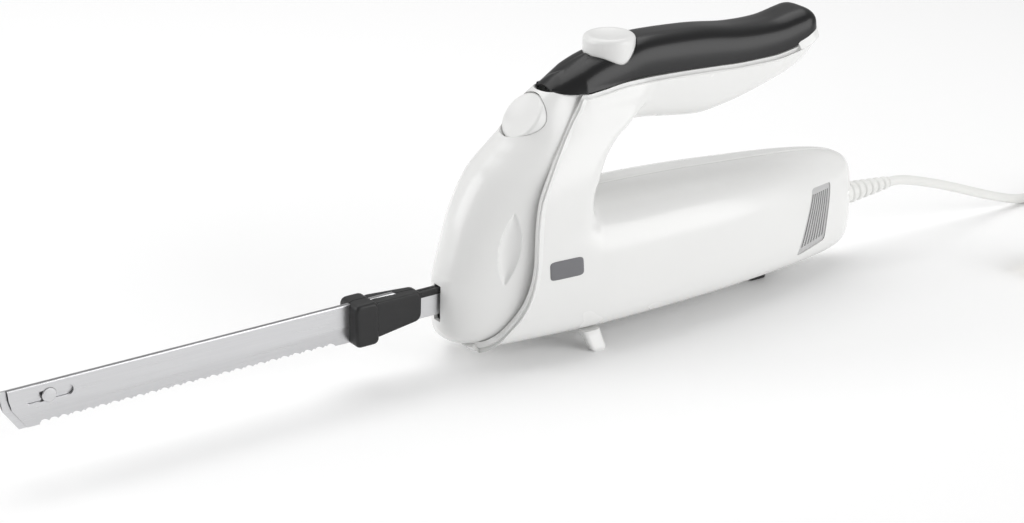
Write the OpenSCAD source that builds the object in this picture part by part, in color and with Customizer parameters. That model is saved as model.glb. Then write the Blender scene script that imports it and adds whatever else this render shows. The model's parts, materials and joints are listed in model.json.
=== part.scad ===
// Electric uncapping knife: twin reciprocating serrated blades, a boat-shaped motor body and an
// open-ended handle above it. Inside each module X runs back from the nose face, Y across and Z up
// from the table; on_origin() moves a node to the row's origin, under the middle of the length.

/* [Blades] */
// Length of the left blade in front of the nose face
blade_reach = 214.8; // [205:0.1:216]
// How much farther the right blade reaches, past the shared rivet
right_blade_extra = 3.7; // [2:0.1:5]
// Height of each blade, spine to tooth tips
blade_h = 19; // [16:0.5:20]
// Thickness of one blade
blade_t = 1; // [0.8:0.1:1.1]
// Distance from tooth to tooth
tooth_pitch = 6; // [5:0.5:8]
// Depth of the scallop between two teeth
tooth_depth = 2; // [1:0.25:3]

/* [Housing] */
// Wall thickness of the two shells
wall = 2.5; // [2:0.1:2.8]
// Widest half-width of the motor body
body_half_w = 33; // [32:0.5:34]
// Half-width of the handle
handle_half_w = 14.5; // [14:0.5:15.5]
// Length of the motor body, nose face to stern
body_l = 249; // [248:1:250]

/* [Buttons] */
// Diameter of the power button
power_d = 25; // [22:0.5:25]
// Travel of the power button
power_travel = 3; // [2:0.5:3]
// Diameter of the blade eject button
eject_d = 24.5; // [22:0.5:25]

/* [Drive] */
// Throw of each eccentric
crank_r = 4; // [3:0.5:4]
// Teeth on the worm wheel
wheel_teeth = 12; // [12:1:12]
// Radius of the worm wheel's pitch circle
wheel_pitch_r = 10.5; // [10.5:0.1:10.6]
// Height of the worm wheel's axle above the table
wheel_z = 27; // [27:0.1:27.2]
// Distance of the worm wheel's axle behind the nose face
wheel_x = 66; // [65:1:67]

/* [Cord] */
// Diameter of the power cord
cord_d = 5; // [4.5:0.5:5]
// Height of the coil of spare cord
coil_h = 10; // [10:0.5:11]

/* [Hidden] */

$fn = 48;
nose_wall = 3.2;                    // thick enough for a tongue behind the shells' edges
seam_gap = 0.05;                    // half of the gap between the two shells
origin_x = (body_l - blade_reach - right_blade_extra) / 2;

white = [0.93, 0.93, 0.92];
vent_grey = [0.72, 0.73, 0.74];
grip_black = [0.10, 0.10, 0.11];
steel = [0.76, 0.77, 0.78];
dark_steel = [0.45, 0.46, 0.48];
copper = [0.72, 0.42, 0.22];
brass = [0.80, 0.66, 0.34];
nylon = [0.90, 0.88, 0.80];

// ---------------------------------------------------------------- curves
// One span of a Catmull-Rom curve between b and c, at t from 0 to 1
function span(a, b, c, d, t) =
    0.5 * (2 * b + (c - a) * t + (2 * a - 5 * b + 4 * c - d) * t * t
           + (3 * b - a - 3 * c + d) * t * t * t);

// A smooth curve through the points, each span cut in n
function smooth(p, n = 4) =
    let (last = len(p) - 1)
    concat([for (i = [0 : last - 1], k = [0 : n - 1])
                span(p[max(i - 1, 0)], p[i], p[i + 1], p[min(i + 2, last)], k / n)],
           [p[last]]);

// c raised to 2/n with its sign kept: a superellipse of exponent n
function se(c, n) = sign(c) * pow(abs(c), 2 / n);

// ---------------------------------------------------------------- housing outlines
// Motor body along X: half-width, crown height and keel height
body_width = smooth([[0, 14], [5, 18], [13, 22.5], [36, 27.5], [68, body_half_w - 1], [97, body_half_w],
                     [145, 31.5], [181, 27.5], [204, 23.6], [222, 19], [236, 14.4], [244, 9], [body_l, 1.5]]);
body_crown = smooth([[0, 58], [60, 71], [92, 71], [132, 69.5], [180, 66.2], [210, 63.8], [230, 61],
                     [241, 57.5], [body_l, 50]]);
body_keel = smooth([[0, 11], [12, 9.2], [40, 8.8], [200, 8.8], [232, 9.8], [243, 13], [body_l, 19]]);
body_mid_z = 36;

// Column up Z: front, rear and half-width
column_front = smooth([[30, -3], [44, 1], [54, 4.5], [73.5, 11], [89.5, 20], [99.5, 31], [106.5, 39],
                       [114.5, 44], [121, 51], [126, 60]]);
column_rear = smooth([[30, 72], [50, 72.5], [74, 73], [83.5, 76.8], [91.5, 81], [97, 85.4], [102, 91.6],
                      [107, 100], [114, 108], [126, 112]]);
column_width = smooth([[30, 29], [60, 28.8], [76, 27.8], [90, 25.4], [104, 21], [114, 17], [126, 14]]);

// Nose cover up Z: ridge and half-width where it meets the shells
nose_ridge = smooth([[9.6, 12], [11.5, 5], [16, 0.5], [23, -0.3], [40, 0.2], [46, 1.5], [56, 4.5],
                     [73.5, 10.3], [89.5, 19.2], [99.5, 30], [106.5, 38], [114.5, 43.5], [121, 50.5],
                     [125, 57]]);
nose_width = smooth([[9.6, 16], [12, 20.5], [16, 23.8], [24, 25.6], [40, 26.2], [58, 26.2], [75, 25.3],
                     [90, 22.9], [104, 18.4], [114, 14.1], [125, 10]]);

// Edge of the side shells in side view: the nose shows in front of it
crease = smooth([[7, 2], [14, 13.5], [21, 18.5], [27, 24.5], [34.5, 41.5], [36, 58.5], [38, 75.5],
                 [44.5, 89.5], [56, 104.5], [67.5, 117.5], [76, 130]]);

// Handle along X: top and underside
handle_end = 216.5;
handle_top = smooth([[56, 124], [68, 130], [82, 136], [98, 139.8], [113, 142.3], [145, 140.8],
                     [170, 137.6], [190, 137], [204, 139], [212, 140.3], [handle_end, 139]]);
handle_under = smooth([[56, 92], [92, 97], [104, 101], [112, 101.4], [128, 99], [146, 96.9],
                       [160, 98.4], [176, 101.8], [198, 108.6], [209, 114.6], [handle_end, 124]]);

// Lower edge of the black grip in side view
grip_edge = smooth([[56, 127.5], [61, 124.3], [70, 122.8], [84, 123.6], [104, 125.4], [125, 124.6],
                    [165, 122.2], [188, 122.2], [204, 125], [214, 129], [224, 136]]);

// Thumb button seats
power_x = 97;
power_z = 144.6;
well_z = 126.9;                     // floor of the power button's well
power_seat = well_z + power_travel + 0.1;
eject_x = 49;
eject_z = 112.4;
eject_tilt = 50;                    // lean of the eject button's axis from upright, towards the nose
cup_r = eject_d / 2 + 2;            // cup in the nose cover that holds the eject button
cup_depth = 6.6;

// ---------------------------------------------------------------- drive layout
shaft_z = wheel_z + wheel_pitch_r + 4.5;
blade_z = 32.5;
blade_gap = 0.15;                   // from the middle plane to each blade's inner face
shank_end = 28;
tooth_line = blade_z - 0.5 * blade_h;
cam_r = 7;
cam_y = [6.4, 10.4];                // inner and outer face of each eccentric
slide_clear = 0.3;
axle_r = 2.5;
run_fit = 0.05;                     // radial clearance of a running fit
worm_pitch = 2 * PI * wheel_pitch_r / wheel_teeth;
shaft_r = 2.5;
stator_x = [112, 146];
commutator_x = [158, 169];
bearing_x = [84, 182];              // middles of the front and rear bearings

// ---------------------------------------------------------------- cord layout
cord_exit = [247, 0, 33];           // middle of the hole in the stern
cord_route = [[279, 0, 33], [285, 0, 32.6], [293, 0, 31], [303, 0, 28], [314, 0, 24.4], [326, 0, 20],
              [338, 0, 15.4], [350, 0, 10.8], [361, 0, 7], [371, 0, 4], [380, 0, 2.7], [392, 0, 2.6],
              [404, 0, 2.6], [412, 0, 2.6]];
coil_r = [22.5, 37.5];              // inner and outer radius of the coil
coil_at = [412, -35];
tail_route = [[400, -71.4, 7], [389, -73.4, 5.6], [379, -76.2, 3.9], [370, -79, 3.4], [361, -80.6, 4.8],
              [350, -81, 7]];
plug_at = [350, -81, 7.5];

// ---------------------------------------------------------------- helpers
module on_origin() {
    translate([-origin_x, 0, 0]) children();
}

// A closed solid through rings of equal point count
module loft(rings) {
    m = len(rings[0]);
    last = len(rings) - 1;
    points = [for (r = rings) each r];
    sides = [for (k = [0 : last - 1], i = [0 : m - 1])
                let (j = (i + 1) % m, a = k * m, b = a + m)
                each [[a + i, b + i, b + j], [a + i, b + j, a + j]]];
    polyhedron(points, concat(sides, [[for (i = [0 : m - 1]) i]],
                              [[for (i = [m - 1 : -1 : 0]) last * m + i]]), convexity = 6);
}

// A round tube of radius r swept along the route
module swept_tube(route, r, sides = 8) {
    last = len(route) - 1;
    function dir(k) = let (d = route[min(k + 1, last)] - route[max(k - 1, 0)]) d / norm(d);
    loft([for (k = [0 : last])
            let (d = dir(k), u = abs(d[2]) < 0.9 ? cross([0, 0, 1], d) : cross([0, 1, 0], d),
                 side = u / norm(u), over = cross(d, side))
            [for (i = [0 : sides - 1])
                route[k] + r * (cos(360 * i / sides) * side + sin(360 * i / sides) * over)]]);
}

// A coil spring standing on Z: wire radius w, coil radius r
module coil_spring(r, h, w, turns) {
    steps = 9 * turns;
    swept_tube([for (i = [0 : steps])
                  [r * cos(40 * i), r * sin(40 * i), w + (h - 2 * w) * i / steps]], w, 5);
}

// A bar lying along Y, centred on y = 0
module cross_bar(x, z, r, half_l) {
    translate([x, half_l, z]) rotate([90, 0, 0]) cylinder(r = r, h = 2 * half_l);
}

// The same bar, reaching from y = 0 to y = -l
module cross_bar_from(x, z, r, l) {
    translate([x, 0, z]) rotate([90, 0, 0]) cylinder(r = r, h = l);
}

// A cylinder lying along X from x0 to x1 on the motor's shaft line
module on_shaft(x0, x1, r) {
    translate([x0, 0, shaft_z]) rotate([0, 90, 0]) cylinder(r = r, h = x1 - x0);
}

// A block given by its two corners
module block(a, b) {
    translate(a) cube(b - a);
}

// ---------------------------------------------------------------- housing solids
// Motor body, shrunk by s: superellipse sections along X
module body_solid(s) {
    rows = [0, 8, 20, 36, 55, 76, 98, 122, 150, 178, 198, 212, 223, 232, 240, 245.5, body_l];
    loft([for (x = rows)
            let (w = max(lookup(x, body_width) - s, 0.4),
                 up = max(lookup(x, body_crown) - s - body_mid_z, 2),
                 down = max(body_mid_z - lookup(x, body_keel) - s, 2),
                 xs = min(x, body_l - s))
            [for (i = [0 : 25])
                let (a = 360 * i / 26, z = sin(a))
                [xs, w * se(cos(a), z > 0 ? 2.7 : 4.2),
                 body_mid_z + (z > 0 ? up * se(z, 2.7) : down * se(z, 4.2))]]]);
}

// Column that carries the handle, shrunk by s: two-ended superellipse sections up Z
module column_solid(s) {
    loft([for (z = [30, 48, 62, 73.5, 82, 90, 97, 103, 109, 117, 126])
            let (f = lookup(z, column_front) + s, r = lookup(z, column_rear) - s,
                 m = r - 0.38 * (r - f), w = lookup(z, column_width) - s)
            [for (i = [0 : 25])
                let (a = 360 * i / 26, c = cos(a), n = c > 0 ? 7 : 2.4)
                [m + (c > 0 ? r - m : m - f) * se(c, n), w * se(sin(a), n), z]]]);
}

// Handle, shrunk by s: superellipse sections along X
module handle_solid(s) {
    rows = [58, 66, 76, 88, 102, 117, 132, 147, 162, 177, 191, 202, 209.9, 214.9, handle_end];
    loft([for (x = rows)
            let (t = lookup(x, handle_top) - s, b = lookup(x, handle_under) + s,
                 close = x > 210 ? (x > 215 ? 0.6 : 0.87) : 1,
                 w = (handle_half_w - s) * min(1, 0.62 + 0.02 * (x - 56)) * close,
                 m = 0.5 * (t + b))
            [for (i = [0 : 25])
                let (a = 360 * i / 26, z = sin(a), n = z > 0 ? 3.2 : 2.5)
                [min(x, handle_end - s), w * se(cos(a), n), m + 0.5 * (t - b) * close * se(z, n)]]]);
}

// Nose: half-oval sections up Z, closed by a flat back
module nose_solid(s) {
    loft([for (z = [9.6, 10.6, 12.5, 16, 24, 40, 50, 61, 73.5, 82, 90, 96, 101, 106.5, 112, 118, 125])
            let (zs = min(max(z, 9.6 + s), 125 - s), f = lookup(zs, nose_ridge) + s, m = 70,
                 w = lookup(zs, nose_width) - s)
            [for (i = [0 : 20])
                let (a = 90 + 180 * i / 20)
                [m + (m - f) * se(cos(a), 2.35), w * se(sin(a), 2.35), zs]]]);
}

// Everything in front of the crease, moved back by dx
module front_region(dx) {
    translate([dx, 60, 0]) rotate([90, 0, 0])
        linear_extrude(120) polygon(concat(crease, [[-40, 130], [-40, 2]]));
}

// Everything above the lower edge of the black grip
module grip_region() {
    translate([0, 60, 0]) rotate([90, 0, 0])
        linear_extrude(120) polygon(concat(grip_edge, [[240, 160], [40, 160], [40, 140]]));
}

module housing_outer() {
    body_solid(0);
    column_solid(0);
    handle_solid(0);
}

module housing_inner(gap = 0) {
    body_solid(wall + gap);
    column_solid(wall + gap);
    handle_solid(wall + gap);
}

// Screw posts that reach from each side wall to the seam
post_spots = [[74, 61], [90, 19], [176, 20], [192, 54], [78, 111], [194, 117]];

module eject_axis() {
    translate([eject_x, 0, eject_z]) rotate([0, -eject_tilt, 0]) children();
}

// One shell, on the side of the sign: the outline less the inside, the nose, the grip and the vents
module housing_half(side) {
    difference() {
        intersection() {
            union() {
                difference() {
                    housing_outer();
                    housing_inner();
                }
                intersection() {
                    housing_outer();
                    union() {
                        for (p = post_spots) cross_bar(p[0], p[1], 4.4, 40);
                        translate([0, side > 0 ? 41.6 : -1.6, 0])
                            cross_bar_from(lever_pivot[0], lever_pivot[1], 3.8, 40);
                    }
                }
            }
            translate([-50, side > 0 ? seam_gap : -90 - seam_gap, -5]) cube([360, 90, 160]);
        }
        front_region(0);
        grip_region();
        for (p = post_spots) {
            cross_bar(p[0], p[1], 1.45, 12);
            if (side > 0) translate([0, 50, 0]) cross_bar_from(p[0], p[1], 3.2, 41);
        }
        cross_bar(lever_pivot[0], lever_pivot[1], 2.02, 16.02);
        vent_cutter(side, 0.1);
        cord_hole();
        eject_axis() translate([0, 0, -9]) cylinder(r = cup_r + 0.1, h = 30);
    }
}

module cord_hole() {
    translate([230, 0, cord_exit[2]]) rotate([0, 90, 0]) cylinder(r = 6.2, h = 30);
}

module housing_left() {
    color(white) housing_half(-1);
}

module housing_right() {
    color(white) housing_half(1);
}

// Front cover between the shells, with the blade slot and the eject button's seat
module nose_cover() {
    color(white) difference() {
        intersection() {
            nose_solid(0);
            union() {
                front_region(0);
                intersection() {
                    front_region(4);
                    housing_inner(0.1);
                }
            }
            union() {
                difference() {
                    nose_solid(0);
                    nose_solid(nose_wall);
                }
                eject_axis() translate([0, 0, -cup_depth - 2]) cylinder(r = cup_r, h = 30);
            }
        }
        block([-6, -2.7, 22.3], [8, 2.7, 40]);
        eject_axis() translate([0, 0, -cup_depth]) cylinder(r = eject_d / 2 + 0.4, h = 30);
        eject_axis() translate([0, 0, -14]) cylinder(r = 3.3, h = 14);
        grip_region();
    }
}

// Black moulded cap over the handle, with the power button's well
module handle_grip() {
    color(grip_black) difference() {
        intersection() {
            union() {
                handle_solid(0);
                intersection() {
                    column_solid(0);
                    block([54, -20, 110], [90, 20, 127]);
                }
            }
            translate([0, 0, 0.08]) grip_region();
        }
        difference() {
            handle_solid(2.6);
            block([56, -20, 100], [68, 20, 140]);
        }
        translate([power_x, 0, well_z]) cylinder(r = power_d / 2 + 0.5, h = 20);
        eject_axis() translate([0, 0, -9]) cylinder(r = cup_r + 0.1, h = 30);
    }
}

// Plain rating panel in place of lettering, on the left side of the column
module printed_mark() {
    color(vent_grey) intersection() {
        difference() {
            column_and_body(-0.3);
            column_and_body(0);
        }
        block([43, -40, 42], [61, -20, 51]);
    }
}

module column_and_body(s) {
    body_solid(s);
    column_solid(s);
}

// Side view of a vent, a slanted four-sided panel near the stern
function vent_outline(g) = [[197.5 - g, 17.5 - g], [219 + g, 20.5 - g], [223 + g, 50 + g], [208 - g, 50.5 + g]];

module vent_cutter(side, g) {
    translate([0, side > 0 ? 60 : 0, 0]) rotate([90, 0, 0])
        linear_extrude(60) offset(r = 1.2) offset(delta = -1.2) polygon(vent_outline(g));
}

// Vent panel: a slotted grille that follows the side of the body
module vent(side) {
    color(vent_grey) difference() {
        intersection() {
            difference() {
                body_solid(0.3);
                body_solid(wall);
            }
            vent_cutter(side, 0);
        }
        for (i = [0 : 6]) translate([202 + 2.9 * i, side > 0 ? 0 : -60, 21.5 + 0.35 * i])
            rotate([0, 6, 0]) cube([1.1, 60, 25]);
    }
}

module vent_left() {
    vent(-1);
}

module vent_right() {
    vent(1);
}

// Splayed prong under each side of the body
module front_feet() {
    color(white) for (side = [-1, 1]) mirror([0, side > 0 ? 0 : 1, 0])
        hull() {
            block([65, 20, 8.6], [75, 27, 9.2]);
            block([68, 26.5, 0], [76.5, 30.5, 1.2]);
        }
}

module rear_foot() {
    color(grip_black) hull() {
        block([184, -5, 8.4], [196, 5, 8.8]);
        block([185, -4.5, 0], [195, 4.5, 1]);
    }
}

// Screws along Y that join the shells, sunk in the right shell's posts
module housing_screws() {
    color(dark_steel) for (p = post_spots) {
        cross_bar(p[0], p[1], 1.4, 11);
        translate([0, 11, 0]) cross_bar_from(p[0], p[1], 2.8, 2);
    }
}

// ---------------------------------------------------------------- buttons and switch
module power_button() {
    color(white) {
        translate([power_x, 0, 0]) difference() {
            rotate_extrude() polygon(concat([[0, power_seat], [power_d / 2 - 1.5, power_seat]],
                [for (a = [-90 : 15 : 0])
                    [power_d / 2 - 1.5 + 1.5 * cos(a), power_seat + 1.5 + 1.5 * sin(a)]],
                [for (a = [0 : 15 : 90]) [power_d / 2 - 2.5 + 2.5 * cos(a), power_z - 2.5 + 2.5 * sin(a)]],
                [[0, power_z]]));
            translate([0, 0, power_z + 34]) sphere(r = 35.2, $fn = 64);
        }
        translate([power_x, 0, well_z]) cylinder(r = 2.5, h = 4);
    }
}

module power_spring() {
    color(steel) translate([power_x, 0, 122.4]) coil_spring(4.2, 7.4, 0.5, 4);
}

module micro_switch() {
    color(grip_black) block([87, -5, 110], [107, 5, 122]);
    color(grip_black) translate([power_x, 0, 122]) cylinder(r = 1.6, h = 1.6);
    color(brass) for (i = [0 : 2]) block([89 + 7 * i, -1.5, 106], [90 + 7 * i, 1.5, 110]);
}

module suppression_capacitor() {
    color([0.85, 0.72, 0.25]) translate([130, 0, 116]) rotate([0, 90, 0]) cylinder(r = 6, h = 24);
}

module eject_button() {
    color(white) eject_axis() {
        difference() {
            union() {
                rotate_extrude() polygon(concat([[0, -0.6], [eject_d / 2 - 0.6, -0.6]],
                    [for (a = [0 : 15 : 90]) [eject_d / 2 - 1.6 + 1.6 * cos(a), 0.9 + 1.6 * sin(a)]],
                    [[0, 2.5]]));
                translate([0, 0, -15.6]) cylinder(r = 3, h = 15.6);
                difference() {
                    translate([0, 0, -3.9]) cylinder(r = eject_d / 2, h = 4);
                    translate([0, 0, -4]) cylinder(r = eject_d / 2 - 1.65, h = 3.5);
                }
            }
            translate([0, 0, 42.4]) sphere(r = 41.4, $fn = 64);
        }
    }
}

module eject_spring() {
    color(steel) eject_axis() translate([0, 0, -cup_depth]) coil_spring(4.4, cup_depth - 0.7, 0.4, 3);
}

// Bell crank that carries the eject button's push down to the blade sockets
lever_pivot = [54, 86];

module eject_lever() {
    color(steel) translate([0, 1, 0]) rotate([90, 0, 0]) difference() {
        linear_extrude(2) union() {
            translate(lever_pivot) circle(r = 5);
            hull() {
                translate(lever_pivot) circle(r = 4);
                translate([61.5, 98]) circle(r = 3);
            }
            hull() {
                translate(lever_pivot) circle(r = 4);
                translate([47, 38]) circle(r = 3);
            }
        }
        translate([lever_pivot[0], lever_pivot[1], -1]) cylinder(r = 2 + run_fit, h = 4);
    }
}

module eject_pin() {
    color(dark_steel) cross_bar(lever_pivot[0], lever_pivot[1], 2, 16);
}

// ---------------------------------------------------------------- blades
// Side view of one blade: spine, slanted tip, scalloped edge, heel and shank
module blade_outline(reach) {
    tip = -reach;
    top = blade_z + 0.5 * blade_h;
    teeth = floor((reach - 62) / tooth_pitch);
    difference() {
        polygon(concat([[tip, top], [tip + 0.6, top - 8], [tip + 8.2, tooth_line]],
                       [[-46, tooth_line], [-20, tooth_line + 2], [-14, 26], [shank_end, 26],
                        [shank_end, 38.2], [-18, 38.2], [-24, top]]));
        for (i = [1 : teeth])
            translate([tip + 8.2 + tooth_pitch * i - 0.35 * tooth_pitch, tooth_line - 2.2])
                circle(r = 2.2 + tooth_depth, $fn = 24);
        translate([20, blade_z]) circle(r = 1.8);
    }
}

// A plate standing on edge, from y0 outward on the side of the sign
module upright(side, y0, t) {
    translate([0, side > 0 ? y0 + t : -y0, 0]) rotate([90, 0, 0]) linear_extrude(t) children();
}

module blade_left() {
    color(steel) difference() {
        upright(-1, blade_gap, blade_t) blade_outline(blade_reach);
        hull() for (x = [-9, 9]) cross_bar(-196 + x, 36, 2.4, 3);
    }
}

module blade_right() {
    color(steel) difference() {
        upright(1, blade_gap, blade_t) blade_outline(blade_reach + right_blade_extra);
        cross_bar(-196, 36, 1.5, 3);
    }
}

// Rivet fixed in the right blade; its head keeps the left blade close
module blade_rivet() {
    color(steel) {
        translate([-196, blade_gap + blade_t + 0.5, 36]) rotate([90, 0, 0]) cylinder(r = 1.5, h = 2.9);
        translate([-196, blade_gap + blade_t + 0.5, 36]) rotate([90, 0, 0]) cylinder(r = 2.6, h = 0.5);
        translate([-196, -blade_gap - blade_t - 0.1, 36]) rotate([90, 0, 0]) cylinder(r = 3.4, h = 0.5);
    }
}

// Finger grip moulded on one blade: a broad front rib, a raised panel and a spine to the shank
module blade_grip(side) {
    color(grip_black) mirror([0, side > 0 ? 0 : 1, 0]) difference() {
        union() {
            hull() for (x = [-44.5, -39.5], z = [25.5, 39.5])
                translate([x, blade_gap, z]) rotate([-90, 0, 0]) {
                    cylinder(r = 3.5, h = 6.2, $fn = 32);
                    cylinder(r = 2.2, h = 7.6, $fn = 32);
                }
            hull() {
                for (z = [27, 39]) translate([-36, blade_gap, z]) rotate([-90, 0, 0])
                    cylinder(r = 3, h = 6, $fn = 32);
                for (z = [30.5, 37]) translate([-14.5, blade_gap, z]) rotate([-90, 0, 0])
                    cylinder(r = 4, h = 4, $fn = 32);
            }
            block([-20, blade_gap, 36.4], [14, 1.9, 39.4]);
        }
        blade_slot();
    }
}

// Pocket in the grip for its blade
module blade_slot() {
    block([-60, -1, 21], [-10.3, blade_gap + blade_t + 0.02, 44]);
    block([-12, -1, 20], [20, blade_gap + blade_t + 0.02, 38.3]);
}

module blade_grip_left() {
    blade_grip(-1);
}

module blade_grip_right() {
    blade_grip(1);
}

// ---------------------------------------------------------------- drive
// Slider: front socket for the shank, side arm and a yoke around the eccentric
module drive_slider(side) {
    color(grip_black) mirror([0, side > 0 ? 0 : 1, 0]) difference() {
        union() {
            block([10, 0.3, 24], [30, 8.4, 40.6]);
            block([28, 5, 26], [wheel_x - 10, cam_y[1] - 0.2, 39]);
            block([wheel_x - 11, cam_y[0] + 0.2, 13.4], [wheel_x + 11, cam_y[1] - 0.2, 41.4]);
        }
        block([9, 0, 25.8], [shank_end + 0.4, 1.4, 38.4]);
        block([9, 0, 36.1], [18.5, 2.3, 42]);
        block([wheel_x - cam_r - slide_clear, 3, 15.6], [wheel_x + cam_r + slide_clear, 12, 38.6]);
        translate([20, 0, blade_z]) rotate([-90, 0, 0]) cylinder(r = 1.7, h = 10);
    }
}

module drive_slider_left() {
    drive_slider(-1);
}

module drive_slider_right() {
    drive_slider(1);
}

// Leaf spring with a round detent that bears on the shank
module blade_latch(side) {
    color(steel) mirror([0, side > 0 ? 0 : 1, 0]) {
        block([13, 8.45, 29], [27.5, 8.95, 36]);
        translate([20, 1.35, blade_z]) rotate([-90, 0, 0]) cylinder(r = 1.6, h = 7.3);
    }
}

module blade_latch_left() {
    blade_latch(-1);
}

module blade_latch_right() {
    blade_latch(1);
}

module slider_guides() {
    color(nylon) for (z = [[21.4, 23.7], [41, 43.3]]) block([9.5, -9.6, z[0]], [36, 9.6, z[1]]);
}

// Two side plates on a base, with the axle's holes
module gearbox_frame() {
    color(dark_steel) difference() {
        union() {
            for (side = [-1, 1]) block([48, side > 0 ? 11.2 : -13.2, 11.8], [80, side > 0 ? 13.2 : -11.2, 52]);
            block([48, -13.2, 11.8], [80, 13.2, 12.8]);
        }
        cross_bar(wheel_x, wheel_z, axle_r, 20);
    }
}

module wheel_axle() {
    color(steel) cross_bar(wheel_x, wheel_z, axle_r, 14.2);
}

// Worm wheel: hub and straight teeth, a gap standing at the top
module worm_wheel() {
    color(nylon) difference() {
        union() {
            translate([wheel_x, 3.2, wheel_z]) rotate([90, 0, 0]) linear_extrude(6.4) union() {
                circle(r = wheel_pitch_r - 2.2);
                for (i = [0 : wheel_teeth - 1]) rotate(90 + (i + 0.5) * 360 / wheel_teeth)
                    polygon([[7, -1.7], [wheel_pitch_r, -1.05], [wheel_pitch_r + 1.1, -0.7],
                             [wheel_pitch_r + 1.1, 0.7], [wheel_pitch_r, 1.05], [7, 1.7]]);
            }
            cross_bar(wheel_x, wheel_z, 5.2, cam_y[0]);
        }
        cross_bar(wheel_x, wheel_z, axle_r + run_fit, 20);
    }
}

// Eccentric disc: up on the left side, down on the right side
module eccentric(side) {
    color(brass) mirror([0, side > 0 ? 0 : 1, 0]) difference() {
        translate([wheel_x, cam_y[0], wheel_z - side * crank_r]) rotate([-90, 0, 0])
            cylinder(r = cam_r, h = cam_y[1] - cam_y[0]);
        cross_bar(wheel_x, wheel_z, axle_r + run_fit, 20);
    }
}

module eccentric_left() {
    eccentric(-1);
}

module eccentric_right() {
    eccentric(1);
}

module rotor_shaft() {
    color(steel) on_shaft(53, 187, shaft_r);
}

// Right-handed single-start worm with its thread centred over the wheel
module worm() {
    turns = 2.5;
    steps = 16 * turns;
    color(brass) difference() {
        union() {
            on_shaft(wheel_x - 10, wheel_x + 11, 3.1);
            loft([for (i = [0 : steps])
                    let (f = i / steps - 0.5, a = -90 + 360 * turns * f, x = wheel_x + worm_pitch * turns * f,
                         tall = min(1, 8 * (0.5 - abs(f)) + 0.15))
                    [for (q = [[2.9, -1.15], [2.9, 1.15], [2.9 + 3.2 * tall, 0.45], [2.9 + 3.2 * tall, -0.45]])
                        [x + q[1], q[0] * cos(a), shaft_z + q[0] * sin(a)]]]);
        }
        on_shaft(wheel_x - 20, wheel_x + 20, shaft_r);
    }
}

module rotor_core() {
    color(dark_steel) difference() {
        on_shaft(stator_x[0], stator_x[1], 12.6);
        on_shaft(stator_x[0] - 1, stator_x[1] + 1, shaft_r);
        for (i = [0 : 11]) translate([stator_x[0] - 1, 0, shaft_z]) rotate([30 * i, 0, 0])
            block([0, -1.1, 7.5], [stator_x[1] - stator_x[0] + 2, 1.1, 13]);
    }
}

module rotor_windings() {
    color(copper) difference() {
        union() {
            on_shaft(stator_x[0] - 6, stator_x[0], 10.5);
            on_shaft(stator_x[1], stator_x[1] + 7, 10.5);
            for (i = [0 : 11]) translate([stator_x[0] - 1, 0, shaft_z]) rotate([30 * i, 0, 0])
                block([0, -1.05, 7.6], [stator_x[1] - stator_x[0] + 2, 1.05, 10.4]);
        }
        on_shaft(80, 170, shaft_r);
    }
}

module commutator() {
    color(copper) difference() {
        union() {
            on_shaft(commutator_x[0], commutator_x[1], 7);
            on_shaft(commutator_x[0] - 2, commutator_x[0], 8.4);
        }
        on_shaft(commutator_x[0] - 3, commutator_x[1] + 1, shaft_r);
        for (i = [0 : 11]) translate([commutator_x[0], 0, shaft_z]) rotate([30 * i + 15, 0, 0])
            block([-3, -0.25, 5.8], [14, 0.25, 9]);
    }
}

module cooling_fan() {
    color(grip_black) difference() {
        union() {
            on_shaft(92, 102, 5);
            on_shaft(101, 102.2, 17);
            for (i = [0 : 8]) translate([93, 0, shaft_z]) rotate([40 * i, 0, 0])
                block([0, -0.6, 4.5], [8.5, 0.6, 17]);
        }
        on_shaft(90, 104, shaft_r);
    }
}

module bearing(x) {
    color(brass) difference() {
        on_shaft(x - 3, x + 3, 6);
        on_shaft(x - 4, x + 4, shaft_r + run_fit);
    }
}

module front_bearing() {
    bearing(bearing_x[0]);
}

module rear_bearing() {
    bearing(bearing_x[1]);
}

// Cross plates that hold the two bearings
module bearing_brackets() {
    color(dark_steel) for (x = bearing_x) difference() {
        block([x - 1.5, -18, shaft_z - 13], [x + 1.5, 18, shaft_z + 12]);
        on_shaft(x - 4, x + 4, 6);
    }
}

// Laminated stack with its bore and four winding windows
module stator_core() {
    color(dark_steel) difference() {
        intersection() {
            on_shaft(stator_x[0], stator_x[1], 22);
            block([stator_x[0], -21, shaft_z - 18], [stator_x[1], 21, shaft_z + 18]);
        }
        on_shaft(stator_x[0] - 1, stator_x[1] + 1, 13.2);
        stator_windows(stator_x[0] - 1, stator_x[1] + 1, 0);
    }
}

module stator_windows(x0, x1, g) {
    for (sy = [-1, 1], sz = [-1, 1]) translate([x0, 14.8 * sy, shaft_z + 9 * sz])
        block([0, -2.6 + g, -2.6 + g], [x1 - x0, 2.6 - g, 2.6 - g]);
}

// Two field coils: legs through the windows and a turn at each end
module field_coils() {
    color(copper) {
        stator_windows(stator_x[0] - 5, stator_x[1] + 5, 0.2);
        for (sy = [-1, 1], x = [stator_x[0] - 5, stator_x[1] + 1])
            translate([x, 14.8 * sy, shaft_z]) block([0, -2.4, -7.2], [4, 2.4, 7.2]);
    }
}

brush_x = 0.5 * (commutator_x[0] + commutator_x[1]);

module brush_holders() {
    color(brass) for (side = [-1, 1]) mirror([0, side > 0 ? 0 : 1, 0]) difference() {
        block([brush_x - 4, 8, shaft_z - 4], [brush_x + 4, 22, shaft_z + 4]);
        block([brush_x - 2.6, 7, shaft_z - 2.6], [brush_x + 2.6, 21, shaft_z + 2.6]);
    }
}

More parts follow.
